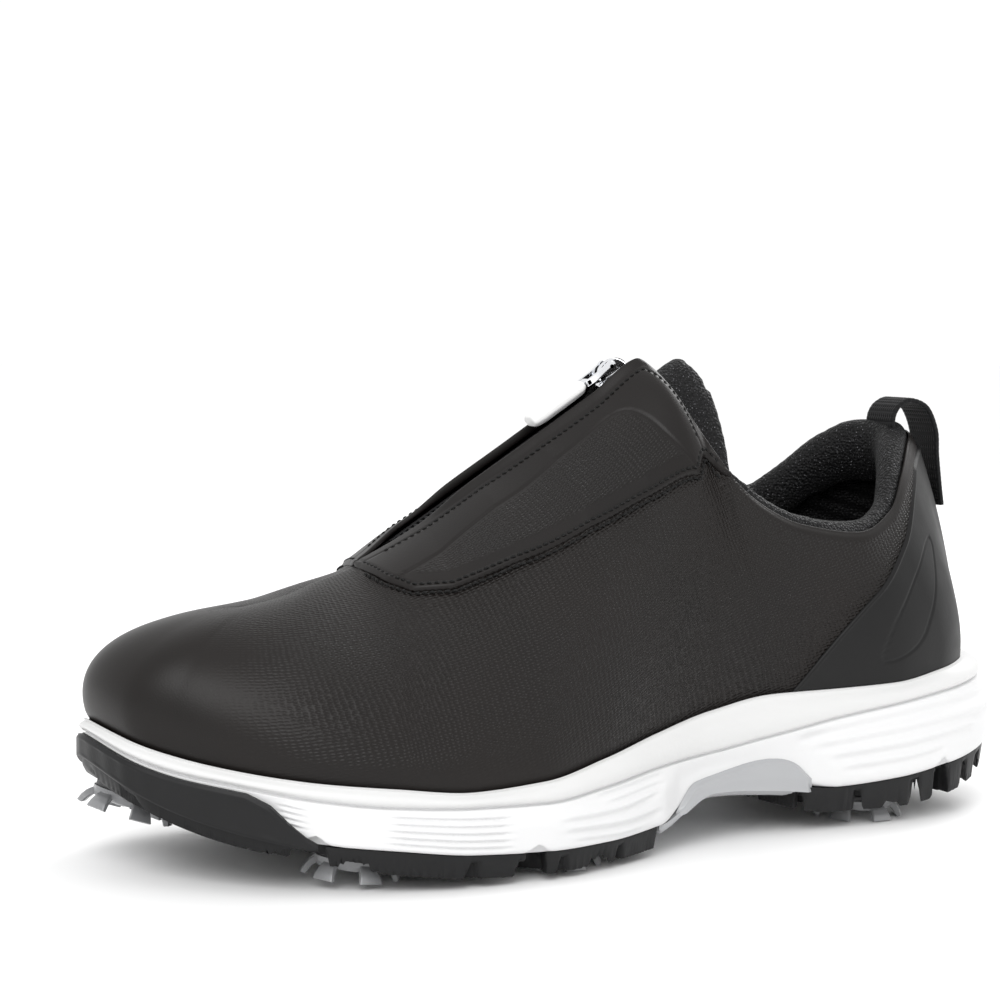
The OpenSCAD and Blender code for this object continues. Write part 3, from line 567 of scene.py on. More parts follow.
def ribbed(name, color, pitch, glint_color):
    """Woven tape: ribs across, yarns along."""
    s = Shader(name, color, 0.7, Specular_IOR_Level=0.2, Sheen_Weight=0.03, Sheen_Roughness=0.45)
    across = s.bands(s.place("UV"), 1000 / pitch / 20 * 3.1416, "X")
    yarns = s.bands(s.place("UV"), 1000 / 0.55 / 20 * 3.1416, "Y")
    s.bump(s.math("MULTIPLY", across, yarns), 0.22, 0.8)
    fuzz = s.noise(s.place(), 2400, 3)
    s.bump(fuzz, 0.08, 0.6)
    # painted sheen: the raised yarns are lightened towards the glint colour, as light catching their crests
    s.colors(s.math("MULTIPLY", yarns, s.ramp(fuzz, 0.5, 0.75)), color, glint_color)
    s.roughness(fuzz, 0.55, 0.85)
    return s.mat


M = {
    "upper": leather("upper_leather", (0.0070, 0.0062, 0.0058), 0.40, True),
    "panel": leather("panel_leather", (0.0066, 0.0060, 0.0058), 0.38, True),
    "overlay": plastic("overlay_film", (0.0062, 0.0062, 0.0064), (0.0090, 0.0088, 0.0088), 0.44, 0.0, 0.05, 700),
    "knit": knit("collar_knit", (0.0030, 0.0030, 0.0033), (0.30, 0.30, 0.32), 0.95),
    "lining": knit("lining_mesh", (0.003, 0.003, 0.0033), (0.05, 0.05, 0.055), 0.9, ribs=2.6),
    "insole": knit("insole_fabric", (0.016, 0.016, 0.017), (0.05, 0.05, 0.055), 0.6),
    "foam": foam(),
    "rubber": rubber(),
    "shank": plastic("shank_plastic", (0.33, 0.335, 0.345), (0.39, 0.395, 0.405), 0.2, 0.4, 0.03, 300),
    "cleat": plastic("cleat_plastic", (0.20, 0.203, 0.21), (0.29, 0.293, 0.30), 0.3, 0.15, 0.04, 600),
    "nylon": plastic("receptacle_nylon", (0.03, 0.03, 0.032), (0.045, 0.045, 0.047), 0.5),
    "chrome": plastic("zip_metal", (0.74, 0.75, 0.77), (0.83, 0.84, 0.86), 0.1, 0.0, 0.02, 220, 1.0),
    "grip": plastic("pull_plastic", (0.74, 0.74, 0.735), (0.78, 0.78, 0.775), 0.3, 0.1, 0.03, 400),
    "coil": plastic("zip_coil", (0.004, 0.004, 0.0045), (0.008, 0.008, 0.009), 0.45),
    "tape": ribbed("zip_tape", (0.003, 0.003, 0.0033), 1.1, (0.012, 0.012, 0.013)),
    "web": ribbed("loop_webbing", (0.004, 0.004, 0.0045), 1.5, (0.022, 0.022, 0.024)),
    "thread": ribbed("sewing_thread", (0.006, 0.006, 0.006), 0.6, (0.03, 0.03, 0.03)),
    "board": plastic("board", (0.52, 0.47, 0.38), (0.62, 0.57, 0.47), 0.85, 0.0, 0.15, 1500),
    "stiff": plastic("stiffener", (0.58, 0.54, 0.47), (0.66, 0.62, 0.55), 0.7, 0.0, 0.1, 900),
}

# ---- upper ----

SPAN = np.arange(0, ROUND, 0.08)


def shell_top(u):
    w = folded(u)
    return np.where((w <= 5) | (w >= 11), 1, np.minimum(1, lookup(w, SEAM) + 0.08))


def seam_line(side, parts=160, shift=0.0):
    w = np.linspace(5.02, 10.98, parts)
    return skin(w if side == 0 else ROUND - w, np.clip(lookup(w, SEAM) + shift, 0, 1), 0.0)


def make_upper():
    rows = spread((0, 0.12, 8), (0.12, 0.9, 58), (0.9, 1, 12))
    u, k = np.meshgrid(SPAN, rows)
    v = k * shell_top(u)
    base = skin(u, v, 0.0)
    height = 0.22 * ripple(base, 21) * step(k / 0.2)
    for side in (0, 1):
        d, _ = distance(base, seam_line(side, 60, -0.035))
        height += 0.35 * np.exp(-(d / 1.2) ** 2)
    # the leather turns in at the feather line and thins to a folded edge at the collar
    w = folded(u)
    collar = step((w - 10.8) / 0.6) * step((k - 0.94) / 0.06)
    height -= 0.9 * collar ** 2 + 0.35 * step((0.03 - k) / 0.03)
    outer = skin(u, v, -height)
    inner = skin(u, v, np.full_like(v, LEATHER))
    cup_x, cup_z = wall(US, feather_inset(US) - GAP, 0)[:, 0], feather_z(US)

    def turned_in(t):
        m = wall(SPAN, feather_inset(SPAN) + 12, 0.0)
        m[:, 2] = np.interp(m[:, 0], cup_x, cup_z) - CUP + GAP + t
        return np.stack([m, wall(SPAN, feather_inset(SPAN) + t, feather_z(SPAN) - CUP + GAP + t)])

    outer = np.concatenate([turned_in(0), outer])
    inner = np.concatenate([turned_in(LEATHER), inner])
    points, faces = slab(outer, inner, wrap=True)
    uv = surface_uv(outer)
    grain = step((outer[..., 0] + 128) / 45) * step((outer[..., 2] - 26) / 16)
    grain = grain * (1 - 0.75 * step((outer[..., 2] - 34) / -8))
    grain[2:] *= 1 - step((k - 0.92) / 0.04) * step((w - 10.9) / 0.5)
    piece("upper_shell_leather", points, faces, M["upper"], stands_for=["upper_shell"],
          uv=both(uv, 2), marks={"grain": both(grain)}, weld=0.02)


# Border of the panel's recessed field: station, share of the way up the wall
INSET = [[5.58, .782], [6.29, .829], [7.07, .845], [8.0, .875], [8.9, .897], [9.2, .885], [9.36, .82],
         [9.56, .69], [9.96, .585]]


def make_panel(side):
    w = spread((5.03, 5.6, 26), (5.6, 9, 150), (9, 10.97, 120))
    rows = spread((0, 0.12, 12), (0.12, 0.84, 90), (0.84, 1, 34))
    ww, k = np.meshgrid(w, rows)
    low = lookup(ww, SEAM)
    v = low + (1 - low) * k
    u = ww if side == 0 else ROUND - ww
    base = skin(u, v, 0.0)
    seam = seam_line(side)
    d_seam, _ = distance(base, seam)
    d_zip, _ = distance(base, base[-1])
    inset = rounded(INSET, 60)
    curve = skin(inset[:, 0] if side == 0 else ROUND - inset[:, 0], inset[:, 1], 0.0)
    d_inset, _ = distance(base, curve)
    field = inside(np.concatenate([inset, [[9.96, 0.3], [5.2, 0.3], [5.2, 0.78]]]), ww, v)
    signed = np.where(field, d_inset, -d_inset)
    height = 0.15 + 1.35 * np.sqrt(np.clip(1 - (1 - np.clip(d_seam / 1.3, 0, 1)) ** 2, 0, 1))
    # a folded edge stands up along the zip
    height += 1.5 * step((3.4 - d_zip) / 2.6) * step((10.15 - ww) / 0.3) * step((ww - 6.0) / 0.8)
    height *= 1 - 0.8 * (1 - np.sqrt(np.clip(1 - (1 - np.clip(d_zip / 0.9, 0, 1)) ** 2, 0, 1)))
    height -= 0.25 * step(signed / 0.6) + 0.45 * np.exp(-(signed / 0.4) ** 2)
    height -= 0.30 * np.exp(-((d_seam - 1.5) / 0.4) ** 2) + 0.22 * np.exp(-((d_zip - 4.3) / 0.45) ** 2)
    height += 0.12 * ripple(base, 15) * step(d_seam / 6)
    points, faces = slab(skin(u, v, -height - GAP), skin(u, v, np.full_like(v, -0.1)))
    grain = 0.85 * step((signed - 0.6) / 1.5) * step((d_seam - 5) / 1.5)
    name = "instep_panel_lateral" if side == 0 else "instep_panel_medial"
    uv = surface_uv(base)
    piece(name + "_leather", points, faces, M["panel"], stands_for=[name],
          uv=both(uv, 2), marks={"grain": both(grain)})


def stitches(name, lines, pitch, length, radius, body="shoe"):
    """Raised thread stitches along (points, normals) lines."""
    parts = []
    for line, normal in lines:
        run = np.concatenate([[0], np.cumsum(np.linalg.norm(np.diff(line, axis=0), axis=1))])
        for s in np.arange(pitch / 2, run[-1] - pitch / 2, pitch):
            f = np.clip(s + np.linspace(-0.5, 0.5, 7) * length, 0, run[-1])
            p = np.stack([np.interp(f, run, line[:, k]) for k in range(3)], -1)
            n = np.array([np.interp(s, run, normal[:, k]) for k in range(3)])
            n /= np.linalg.norm(n)
            d = p[-1] - p[0]
            d /= np.linalg.norm(d)
            e = np.cross(d, n)
            lift = np.array([-0.9, 0.1, 0.45, 0.55, 0.45, 0.1, -0.9]) * radius
            wide = np.array([0.45, 0.85, 1, 1, 1, 0.85, 0.45]) * radius
            skew = np.linspace(-0.5, 0.5, 7) * radius * 1.1
            a = np.arange(8) * math.pi / 4
            rings = (p + lift[:, None] * n + skew[:, None] * e)[:, None] + wide[:, None, None] * (
                np.cos(a)[:, None] * e + 0.8 * np.sin(a)[:, None] * n)
            parts.append(tube(rings))
    points, faces = join(parts)
    return piece(name, points, faces, M["thread"], body=body, uv=points[:, :2])


def skin_line(side, uv, lift, parts=240):
    uv = rounded(uv, parts)
    u = uv[:, 0] if side == 0 else ROUND - uv[:, 0]
    line = skin(u, uv[:, 1], -lift)
    normal = skin(u, uv[:, 1], -lift - 1.0) - line
    return line, normal / np.linalg.norm(normal, axis=1, keepdims=True)


def seam_uv(shift):
    """Stitch row beside the seam, some millimetres up the panel (or down, if negative)."""
    w = np.linspace(5.12, 10.9, 140)
    v = lookup(w, SEAM)
    line, up = skin(w, v, 0.0), skin(w, np.clip(v + 0.01, 0, 1.01), 0.0)
    tall = np.linalg.norm(up - line, axis=1) / 0.01
    d = np.gradient(line, axis=0)
    rise = (up - line) / np.linalg.norm(up - line, axis=1, keepdims=True)
    d /= np.linalg.norm(d, axis=1, keepdims=True)
    steep = np.sqrt(np.clip(1 - (d * rise).sum(1) ** 2, 0.05, 1))
    uv = np.stack([w, np.clip(v + shift / tall / steep, 0, 0.985)], -1)
    return uv[(uv[:, 1] < 0.98)]


def edge_row(side, inset, lift):
    """Stitch row at a constant distance from the zip edge and the front collar edge."""
    w = np.concatenate([np.linspace(5.45, 9.6, 120), np.linspace(9.63, 10.82, 90)])
    v = np.linspace(1, 0.55, 120)
    ww, vv = np.meshgrid(w, v, indexing="ij")
    grid = skin(ww, vv, 0.0)
    top = skin(np.linspace(5, 11.3, 900), 1.0, 0.0)
    uv = []
    for k in range(len(w)):
        d, _ = distance(grid[k], top)
        far = np.nonzero(d > inset)[0]
        if len(far) and lookup(w[k], SEAM) + 0.03 < v[far[0]]:
            uv.append([w[k], v[far[0]]])
    uv = np.array(uv)
    u = uv[:, 0] if side == 0 else ROUND - uv[:, 0]
    line = along(skin(u, uv[:, 1], -lift), 300)
    normal = np.array([-0.35, -0.55 if side == 0 else 0.55, 0.75])
    return line, np.tile(normal / np.linalg.norm(normal), (len(line), 1))


def make_seams():
    lines = []
    for side in (0, 1):
        lines.append(skin_line(side, seam_uv(1.5), 1.3))
        lines.append(skin_line(side, seam_uv(-1.2), 0.5))
    stitches("panel_seam_stitching", lines, 2.1, 1.75, 0.42)
    stitches("zip_edge_stitching", [edge_row(side, 4.3, 1.62) for side in (0, 1)], 2.1, 1.6, 0.34)


def make_overlay():
    rows = spread((0.0, 0.06, 6), (0.06, 0.89, 112), (0.89, 0.93, 12))
    share = spread((0, 0.06, 28), (0.06, 0.94, 260), (0.94, 1, 28))
    k, f = np.meshgrid(rows, share, indexing="ij")
    edge = rounded([[v, a] for v, a in OVERLAY_EDGE], 60)
    a = np.interp(k, edge[:, 0], edge[:, 1])
    u = a + (ROUND - 2 * a) * f
    base = skin(u, k, 0.0)
    front = [skin(edge[:, 1], edge[:, 0], 0.0), skin(ROUND - edge[:, 1], edge[:, 0], 0.0)]
    d = np.minimum(distance(base, front[0])[0], distance(base, front[1])[0])
    d = np.minimum(d, distance(base, base[-1])[0])
    height = 0.1 + 0.62 * step(d / 0.6) + 0.2 * np.exp(-((d - 0.8) / 0.35) ** 2)
    tear = rounded([[15.1, .66], [14.5, .50], [13.9, .35], [13.45, .19], [12.75, .115], [12.75, .19],
                    [13.1, .40], [13.75, .57], [14.5, .665]], 90, closed=True)
    for side in (0, 1):
        line = skin(tear[:, 0] if side == 0 else ROUND - tear[:, 0], tear[:, 1], 0.0)
        r, _ = distance(base, line)
        within = inside(tear, folded(u), k) & ((u < LAST) == (side == 0))
        height -= 0.30 * np.exp(-(r / 0.42) ** 2) + np.where(within, 0.12 * step(r / 1.2), 0)
    points, faces = slab(skin(u, k, -height), skin(u, k, np.full_like(k, 0.05)))
    piece("heel_overlay_film", points, faces, M["overlay"], stands_for=["heel_overlay"],
          uv=both(surface_uv(base), 2))


LINING_RIB = 0.22


def make_lining():
    def top(u):
        w = folded(u)
        return np.where(w <= 5, 1, lookup(w, [[5, 1], [5.5, .94], [10, .94], [11, .78], [18, .78]]))
    u, k = np.meshgrid(np.arange(0, ROUND, 0.1), np.linspace(0, 1, 60))
    v = 0.02 + (top(u) - 0.02) * k
    flat = skin(u, v, np.full_like(v, LINING_AT + LINING))
    uv = surface_uv(flat)
    slant = uv[..., 0] * 0.47 + uv[..., 1] * 0.88
    rib = LINING_RIB * np.abs(np.sin(slant * math.pi / 2.6)) * step((folded(u) - 5) / 2)
    outer = skin(u, v, np.full_like(v, LINING_AT))
    points, faces = slab(outer, skin(u, v, LINING_AT + LINING - LINING_RIB + rib), wrap=True)
    piece("lining_knit", points, faces, M["lining"], stands_for=["lining"],
          uv=both(uv, 2), weld=0.02)


make_upper()
make_panel(0)
make_panel(1)
make_seams()
make_overlay()
make_lining()


# ---- midsole ----

# Sculpted lines on the foam's wall: (station, share of the wall's height) points, width, depth
WALL_LINES = (
    [([(4.85, h + .01), (5.6, h), (6.55, h - .02)], 0.38, 0.62) for h in (.80, .64, .48, .32, .17)]
    + [([(3.5, h + .02), (3.95, h - .02)], 0.38, 0.55) for h in (.77, .62, .47, .33)]
    + [([(7.1, .60), (8.1, .50), (8.95, .59)], 0.9, 0.75), ([(7.15, .37), (8.2, .24), (9.0, .27)], 0.9, 0.75),
       ([(7.3, .16), (8.1, .07), (8.7, .08)], 0.7, 0.5), ([(7.7, .88), (9.1, .87)], 0.9, 0.6),
       ([(7.85, .72), (9.1, .74)], 0.9, 0.7),
       ([(11.3, .80), (13.5, .84), (15.8, .72), (17.6, .56)], 1.4, 0.7),
       ([(11.6, .60), (12.9, .62), (14.6, .56), (16.8, .44)], 1.4, 0.75),
       ([(11.8, .42), (13, .40), (14.8, .37)], 1.3, 0.7), ([(12.0, .24), (13, .21), (13.9, .22)], 1.1, 0.6)])
SLOTS = (4.02, 6.85, 13.85, ROUND - 3.5)


def wall_relief(u, h, tall):
    w = folded(u)
    out = np.zeros(np.shape(u))
    for points, width, deep in WALL_LINES:
        curve = rounded(points, 40)
        line = np.interp(w, curve[:, 0], curve[:, 1])
        off = (h - line) * tall
        ends = step((w - points[0][0]) / 0.25) * step((points[-1][0] - w) / 0.25)
        out += deep * ends * (np.exp(-(off / width) ** 2) - 0.45 * np.exp(-((off - 1.9 * width) / width) ** 2))
    return out


def make_midsole():
    u = np.arange(0, ROUND, 0.06)
    fi, fz, gz, uz = feather_inset(u), feather_z(u), groove_z(u), under_u(u)
    tall = gz - uz
    rows, lip, heights = [], [], []
    base_x = wall(u, body_inset(u) + 1.6, 0.0)[:, 0]
    rows.append(wall(u, body_inset(u) + 1.9, under_z(base_x)))
    for h in np.concatenate([[0.0, 0.012, 0.03, 0.055, 0.085], np.linspace(0.12, 0.95, 52), [0.975, 0.99]]):
        inset = body_inset(u) + 1.5 * (1 - np.sqrt(np.clip(1 - (1 - np.clip(h / 0.12, 0, 1)) ** 2, 0, 1)))
        inset = inset + (0.3 * fi + 0.5 - body_inset(u)) * step((h - 0.55) / 0.5)
        shape = wall_relief(u, h, tall)
        notch = sum(np.exp(-((((u - s + 18) % ROUND) - 18) / 0.09) ** 2) for s in SLOTS)
        z = uz + tall * h + (1 - h) ** 6 * 2.4 * notch
        rows.append(wall(u, inset + shape, z))
        heights.append(h)
    # the groove, then the rounded lip up to the feather line
    for z, inset in ((-0.05, 0.3 * fi + 1.5), (0.25, 0.3 * fi + 1.6), (0.55, 0.3 * fi + 1.3), (0.9, 0.3 * fi + 0.35)):
        rows.append(wall(u, inset, gz + z))
    for h in np.linspace(0.0, 1, 16):
        bulge = 0.75 * np.sin(math.pi * min(h * 1.05, 1)) ** 0.8
        inset = 0.3 * fi + 0.1 + (0.62 * fi - 0.75) * h ** 1.6 - bulge
        rows.append(wall(u, inset, gz + 1.2 + (fz - gz - 1.6) * h))
    rows.append(wall(u, fi - 1.35, fz + 0.0))
    rows.append(wall(u, fi - 0.75, fz + 0.15))
    rows.append(wall(u, fi - 0.3, fz - 0.25))
    rows.append(wall(u, fi - GAP, fz - 1.2))
    rows.append(wall(u, fi - GAP, fz - CUP))
    grid = np.stack(rows)
    r, c = grid.shape[:2]
    faces = [tuple(int(i) for i in f) for f in grid_quads(r, c, True)]
    # the underside and the cup's floor close from side to side
    half = c // 2
    for row in (0, r - 1):
        for i in range(half):
            corners = (i, i + 1, (c - i - 1) % c, (c - i) % c)
            faces.append(tuple(dict.fromkeys(row * c + k for k in corners)))
    lip = np.zeros((r, c))
    lip[len(heights) + 4:] = 1
    piece("midsole_foam_body", grid.reshape(-1, 3), faces, M["foam"], stands_for=["midsole"],
          marks={"lip": lip})


# ---- tread ----

def outline(u, inset):
    return (at(EDGE, u) - outward(u) * inset)


def with_slots(u0, u1, inset, slots, deep=9.0, half=0.125):
    """Sole outline between two stations with round-ended slots cut in from the edge."""
    points = []
    stops = sorted(s for s in slots if u0 < s < u1)
    u = u0
    for s in stops + [None]:
        end = u1 if s is None else s - half
        points.append(outline(np.arange(u, end, 0.05), inset))
        if s is not None:
            a, b = outline(np.array([s - half, s + half]), inset)
            n = -outward(np.array([s]))[0]
            reach = deep - np.linalg.norm(b - a) / 2
            centre = (a + b) / 2 + n * reach
            r = np.linalg.norm(b - a) / 2
            side = (a - b) / (2 * r)
            angles = np.linspace(0, math.pi, 9)
            points.append(np.array([centre + r * (math.cos(g) * side + math.sin(g) * n) for g in angles]))
            u = s + half
    return np.concatenate(points)


def relief(name, poly, cell, low, high, material, stands_for, extra=(), mark=None):
    """A solid plate with a sculpted underside: low(x, y, d) and high(x, y) give its faces."""
    lo, hi = poly.min(0) - cell, poly.max(0) + cell
    xs, ys = np.arange(lo[0], hi[0] + cell, cell), np.arange(lo[1], hi[1] + cell, cell)
    gx, gy = np.meshgrid(xs, ys, indexing="ij")
    keep = inside(poly, (gx[:-1, :-1] + cell / 2), (gy[:-1, :-1] + cell / 2))
    count = np.zeros(gx.shape, int)
    for i in (0, 1):
        for j in (0, 1):
            count[i:i + keep.shape[0], j:j + keep.shape[1]] += keep
    used, border = count > 0, (count > 0) & (count < 4)
    p = np.stack([gx, gy], -1)
    loop = np.concatenate([poly, poly[:1]])
    _, near = distance(p[border], loop)
    p[border] = near
    index = -np.ones(gx.shape, int)
    index[used] = np.arange(used.sum())
    flat = p[used]
    n = len(flat)
    d = np.zeros(n)
    d[:] = distance(flat, loop)[0]
    z_low, z_high = low(flat[:, 0], flat[:, 1], d), high(flat[:, 0], flat[:, 1])
    points = np.concatenate([np.column_stack([flat, z_low]), np.column_stack([flat, z_high])])
    i, j = np.nonzero(keep)
    a, b, c, e = index[i, j], index[i + 1, j], index[i + 1, j + 1], index[i, j + 1]
    faces = [np.stack([a, e, c, b], -1), np.stack([a, b, c, e], -1) + n]
    padded = np.pad(keep, 1)
    for di, dj, u, v in ((-1, 0, a, e), (1, 0, c, b), (0, -1, b, a), (0, 1, e, c)):
        open_side = ~padded[i + 1 + di, j + 1 + dj]
        faces.append(np.stack([u[open_side], v[open_side], v[open_side] + n, u[open_side] + n], -1))
    shapes = [(points, np.concatenate(faces)), *extra]
    all_points, all_faces = join(shapes)
    marks = {}
    if mark is not None:
        m = np.zeros(len(all_points))
        m[:n] = mark(flat[:, 0], flat[:, 1], d)
        marks["knurl"] = m
    return piece(name, all_points, all_faces, material, stands_for=stands_for, marks=marks, sharp=50)


RUBBER_T = 2.2


def flex_lines(y):
    """x of the two flex grooves across the forefoot."""
    front = -104 - 8 * (y + 43) / 96
    rear = -43 - 27 * np.clip((y + 56) / 90, 0, 2) ** 0.62
    return front, rear


def groove(off, wide, soft=0.9):
    """1 on the groove's floor, 0 away from it."""
    return 1 - step((np.abs(off) - wide / 2) / soft)


def cleat_ring(x, y, names):
    """Raised pads round the cleats: (mask of the pad, mask of the moat around it)."""
    pad, moat = np.zeros(x.shape), np.zeros(x.shape)
    for name in names:
        cx, cy = CLEATS[name][:2]
        r = np.hypot(x - cx, y - cy)
        pad = np.maximum(pad, 1 - step((r - 14.9) / 0.8))
        moat = np.maximum(moat, 1 - step((r - 16.9) / 0.9))
    return pad, moat


def blocks(g, q, run, gap, seed):
    """Bars across g broken into blocks along q: (height share, share that is knurled pad)."""
    k = np.floor(g)
    f = g - k
    bar = step((f - 0.10) / 0.16) * step((0.80 - f) / 0.16)
    phase = (np.sin(k * 12.9 + seed) * 0.5 + 0.5) * run
    t = (q + phase + f * 3.2) / run
    j = np.floor(t)
    s = (t - j) * run
    block = step((s - gap / 2) / 0.9) * step((run - gap / 2 - s) / 0.9)
    choice = np.sin(k * 7.31 + j * 4.17 + seed) * 0.5 + 0.5
    low = (choice > 0.72)
    slit = np.where((choice > 0.3) & (choice < 0.55), 1 - 0.55 * groove(f - 0.45, 0.0, 0.07), 1)
    return bar * block * np.where(low, 0.32, 1) * slit, low * bar * block


def fore_share(x, y, d):
    x1, x2 = flex_lines(y)
    g = (x - x1) / (x2 - x1) * 7
    bars, knurl = blocks(g, y + 0.18 * x, 19, 3.4, 1.7)
    rim = step(d / 0.9) * step((6.2 - d) / 0.9)
    rim_cut = groove(np.mod(x * 0.75 + y * 0.9, 21) - 10.5, 2.0)
    share = np.maximum(bars * step((d - 7.0) / 0.8), rim * (1 - rim_cut))
    share = np.maximum(share, 0.0) * step(d / 0.8)
    centre = groove(y - 6 - 0.08 * x, 2.0)
    share *= 1 - centre * (d > 7)
    line = np.minimum(np.abs(x - x1), np.abs(x - x2))
    share *= 1 - groove(line, 5.4)
    seam = 0.16 * groove(line, 3.2, 0.4) * (0.5 + 0.5 * np.sin(y * 3.6))
    knurl = np.maximum(knurl * (d > 7), groove(line, 4.2))
    pad, moat = cleat_ring(x, y, list(CLEATS)[:5])
    share = share * (1 - moat) + pad * 0.55 + seam * (1 - moat)
    return share, knurl * (1 - moat)


def heel_share(x, y, d):
    r = np.hypot(x - 48, (y - 9) * 0.82)
    rear = step((x + 0.16 * (y - 9) - 112.5) / 0.8)
    front_bars, knurl = blocks((x - 0.22 * np.abs(y - 10)) / 7.4, y, 17, 3.0, 4.4)
    f = np.mod((r - 63.5) / 7.3, 1)
    ribs = step(f / 0.2) * step((0.78 - f) / 0.2)
    rim = step((5.2 - d) / 0.9) * (1 - groove(np.mod(x * 0.8 + np.abs(y - 9) * 0.8, 17) - 8.5, 1.8))
    share = np.where(rear > 0.5, ribs, np.maximum(front_bars * step((d - 6) / 0.8), rim))
    split = np.abs(x + 0.12 * (y + 30) - 110)
    share *= 1 - groove(split, 4.6)
    share *= step(d / 0.8)
    pad, moat = cleat_ring(x, y, list(CLEATS)[5:])
    knurl = np.maximum(knurl * (1 - rear), groove(split, 3.4)) + rear * (1 - ribs)
    return share * (1 - moat) + pad * 0.5, np.clip(knurl, 0, 1) * (1 - moat)


def tread(x, y, d, share):
    deep = np.maximum(under_z(x) - RUBBER_T - tips_z(x), 0.6)
    s, _ = share(x, y, d)
    base = under_z(x) - RUBBER_T + 1.0 * (1 - step(d / 1.0))
    z = base - deep * s
    # the openings that the cleats' seats fill
    for cx, cy, seat, tilt in CLEATS.values():
        r = np.hypot(x - cx, y - cy)
        floor = seat - math.tan(math.radians(tilt)) * (x - cx) + 1.3
        z = np.where(r < 10.4, np.maximum(z, floor), z)
    return z


def make_bumper():
    u = np.linspace(-4.05, 4.05, 260)
    h, uu = np.meshgrid(np.linspace(0, 1, 34), u, indexing="ij")
    low, full = under_u(uu) - RUBBER_T + 0.6, groove_z(uu) - 0.35
    drop = np.interp(np.abs(uu), *np.array([[0, 3.15, 3.45, 3.7, 3.9, 4.05], [1, .97, .8, .47, .26, .16]]))
    high = low + (full - low) * drop
    z = low + (high - low) * h
    edge = np.minimum(step((high - z) / 1.1), step((z - low + 0.4) / 1.2))
    out = 0.25 + 0.55 * edge
    ribs = 0.16 * (0.5 + 0.5 * np.sin(uu * 15)) * step((h - 0.12) / 0.1) * step((0.86 - h) / 0.1)
    inner = wall(uu, np.maximum(body_inset(uu) - 0.4, -out + 0.25), z)
    return slab(wall(uu, -out + 0.55 + ribs, z), inner)


def make_outsole():
    fore = np.concatenate([with_slots(-7.85, 8.95, 1.4, [4.02, 6.85, -3.5]), np.array(FORE_EDGE, float)])
    relief("forefoot_outsole_rubber", fore, 0.62, lambda x, y, d: tread(x, y, d, fore_share),
           lambda x, y: under_z(x) - GAP, M["rubber"], ["forefoot_outsole"],
           extra=[make_bumper()], mark=lambda x, y, d: fore_share(x, y, d)[1])
    heel = np.concatenate([with_slots(12.42, 23.6, 1.4, [13.85]), np.array(HEEL_EDGE[::-1], float)])
    relief("heel_outsole_rubber", heel, 0.6, lambda x, y, d: tread(x, y, d, heel_share),
           lambda x, y: under_z(x) - GAP, M["rubber"], ["heel_outsole"],
           mark=lambda x, y, d: heel_share(x, y, d)[1])


# ---- shank ----

BAR = rounded([[-29, -2.5], [-8, 14.5], [20, 18.5], [50, 20.5], [73, 12.5], [56, 1.5], [44, -4.5],
               [-4, -8.5]], 160, 2, closed=True)
FRAME = rounded([[0, 8.5], [41, 13], [42.5, 1.5], [1.5, -3.8]], 120, 2, closed=True)


def ladder(x0, x1, y0, y1, count, lean):
    """Corners of a row of narrow trapezoids."""
    out = []
    for k in range(count):
        x = x0 + (x1 - x0) * k / (count - 1)
        corners = [[x - 1.6, y0], [x + 1.6, y0], [x + 2.1 + lean, y1], [x - 1.4 + lean, y1]]
        out.append(rounded(corners, 40, 2, closed=True))
    return out


LADDERS = ladder(-6, 38, 23, 36, 7, -2.2) + ladder(14, 38, -24, -12.5, 4, 2.4)


def shank_height(x, y, d):
    h = 2.3 * np.exp(-((d - 2.6) / 2.2) ** 2)
    bar = depth(BAR, x, y)
    h = np.maximum(h, 3.3 * step((bar + 0.2) / 3.4) - 0.9 * step((bar - 4.2) / 2.0))
    h -= 0.7 * np.exp(-((bar + 1.4) / 1.2) ** 2)
    frame_d = depth(FRAME, x, y)
    h += 0.75 * np.exp(-((np.abs(frame_d) - 0.2) / 0.75) ** 2) - 0.25 * step(frame_d / 1.0)
    for shape in LADDERS:
        near = np.abs(x - shape[:, 0].mean()) < 8
        r = np.full(x.shape, 9.0)
        r[near] = depth(shape, x[near], y[near])
        h = h + np.where(near, 0.55 * np.exp(-(r / 0.55) ** 2) - 0.3 * step(r / 0.6) * (r < 8), 0)
    return h


def make_fairing(side):
    w = np.linspace(9.34, 11.62, 90)
    u = w if side == 0 else ROUND - w
    h, uu = np.meshgrid(np.linspace(0, 1, 26), u, indexing="ij")
    ww = folded(uu)
    curve = rounded(FAIRING, 80)
    low = under_u(uu) - RUBBER_T + 0.7
    high = np.maximum(low + 1, np.interp(ww, curve[:, 0], curve[:, 1]))
    z = low + (high - low) * h
    edge = np.minimum(step((high - z) / 1.4), np.minimum(step((ww - 9.34) / 0.12), step((11.62 - ww) / 0.12)))
    out = 1.5 * edge + 0.5 * step((high - z) / 3) * step((0.5 - h) / 0.5)
    return slab(wall(uu, 2.2 - out, z), wall(uu, np.full_like(uu, 2.35), z))


def make_shank():
    lateral = outline(np.arange(8.98, 12.38, 0.06), 1.6)
    medial = outline(np.arange(23.64, 28.12, 0.06), 1.6)
    heel = np.array(HEEL_EDGE, float) - [0.5, 0]
    fore = np.array(FORE_EDGE, float) + [0.5, 0]
    poly = np.concatenate([lateral, heel, medial, fore[::-1]])
    relief("shank_plate_tpu", poly, 0.6,
           lambda x, y, d: under_z(x) - 1.4 - shank_height(x, y, d) * step(d / 0.7) * 0.9,
           lambda x, y: under_z(x) - GAP, M["shank"], ["shank_plate"],
           extra=[make_fairing(0), make_fairing(1)])


# ---- cleats ----

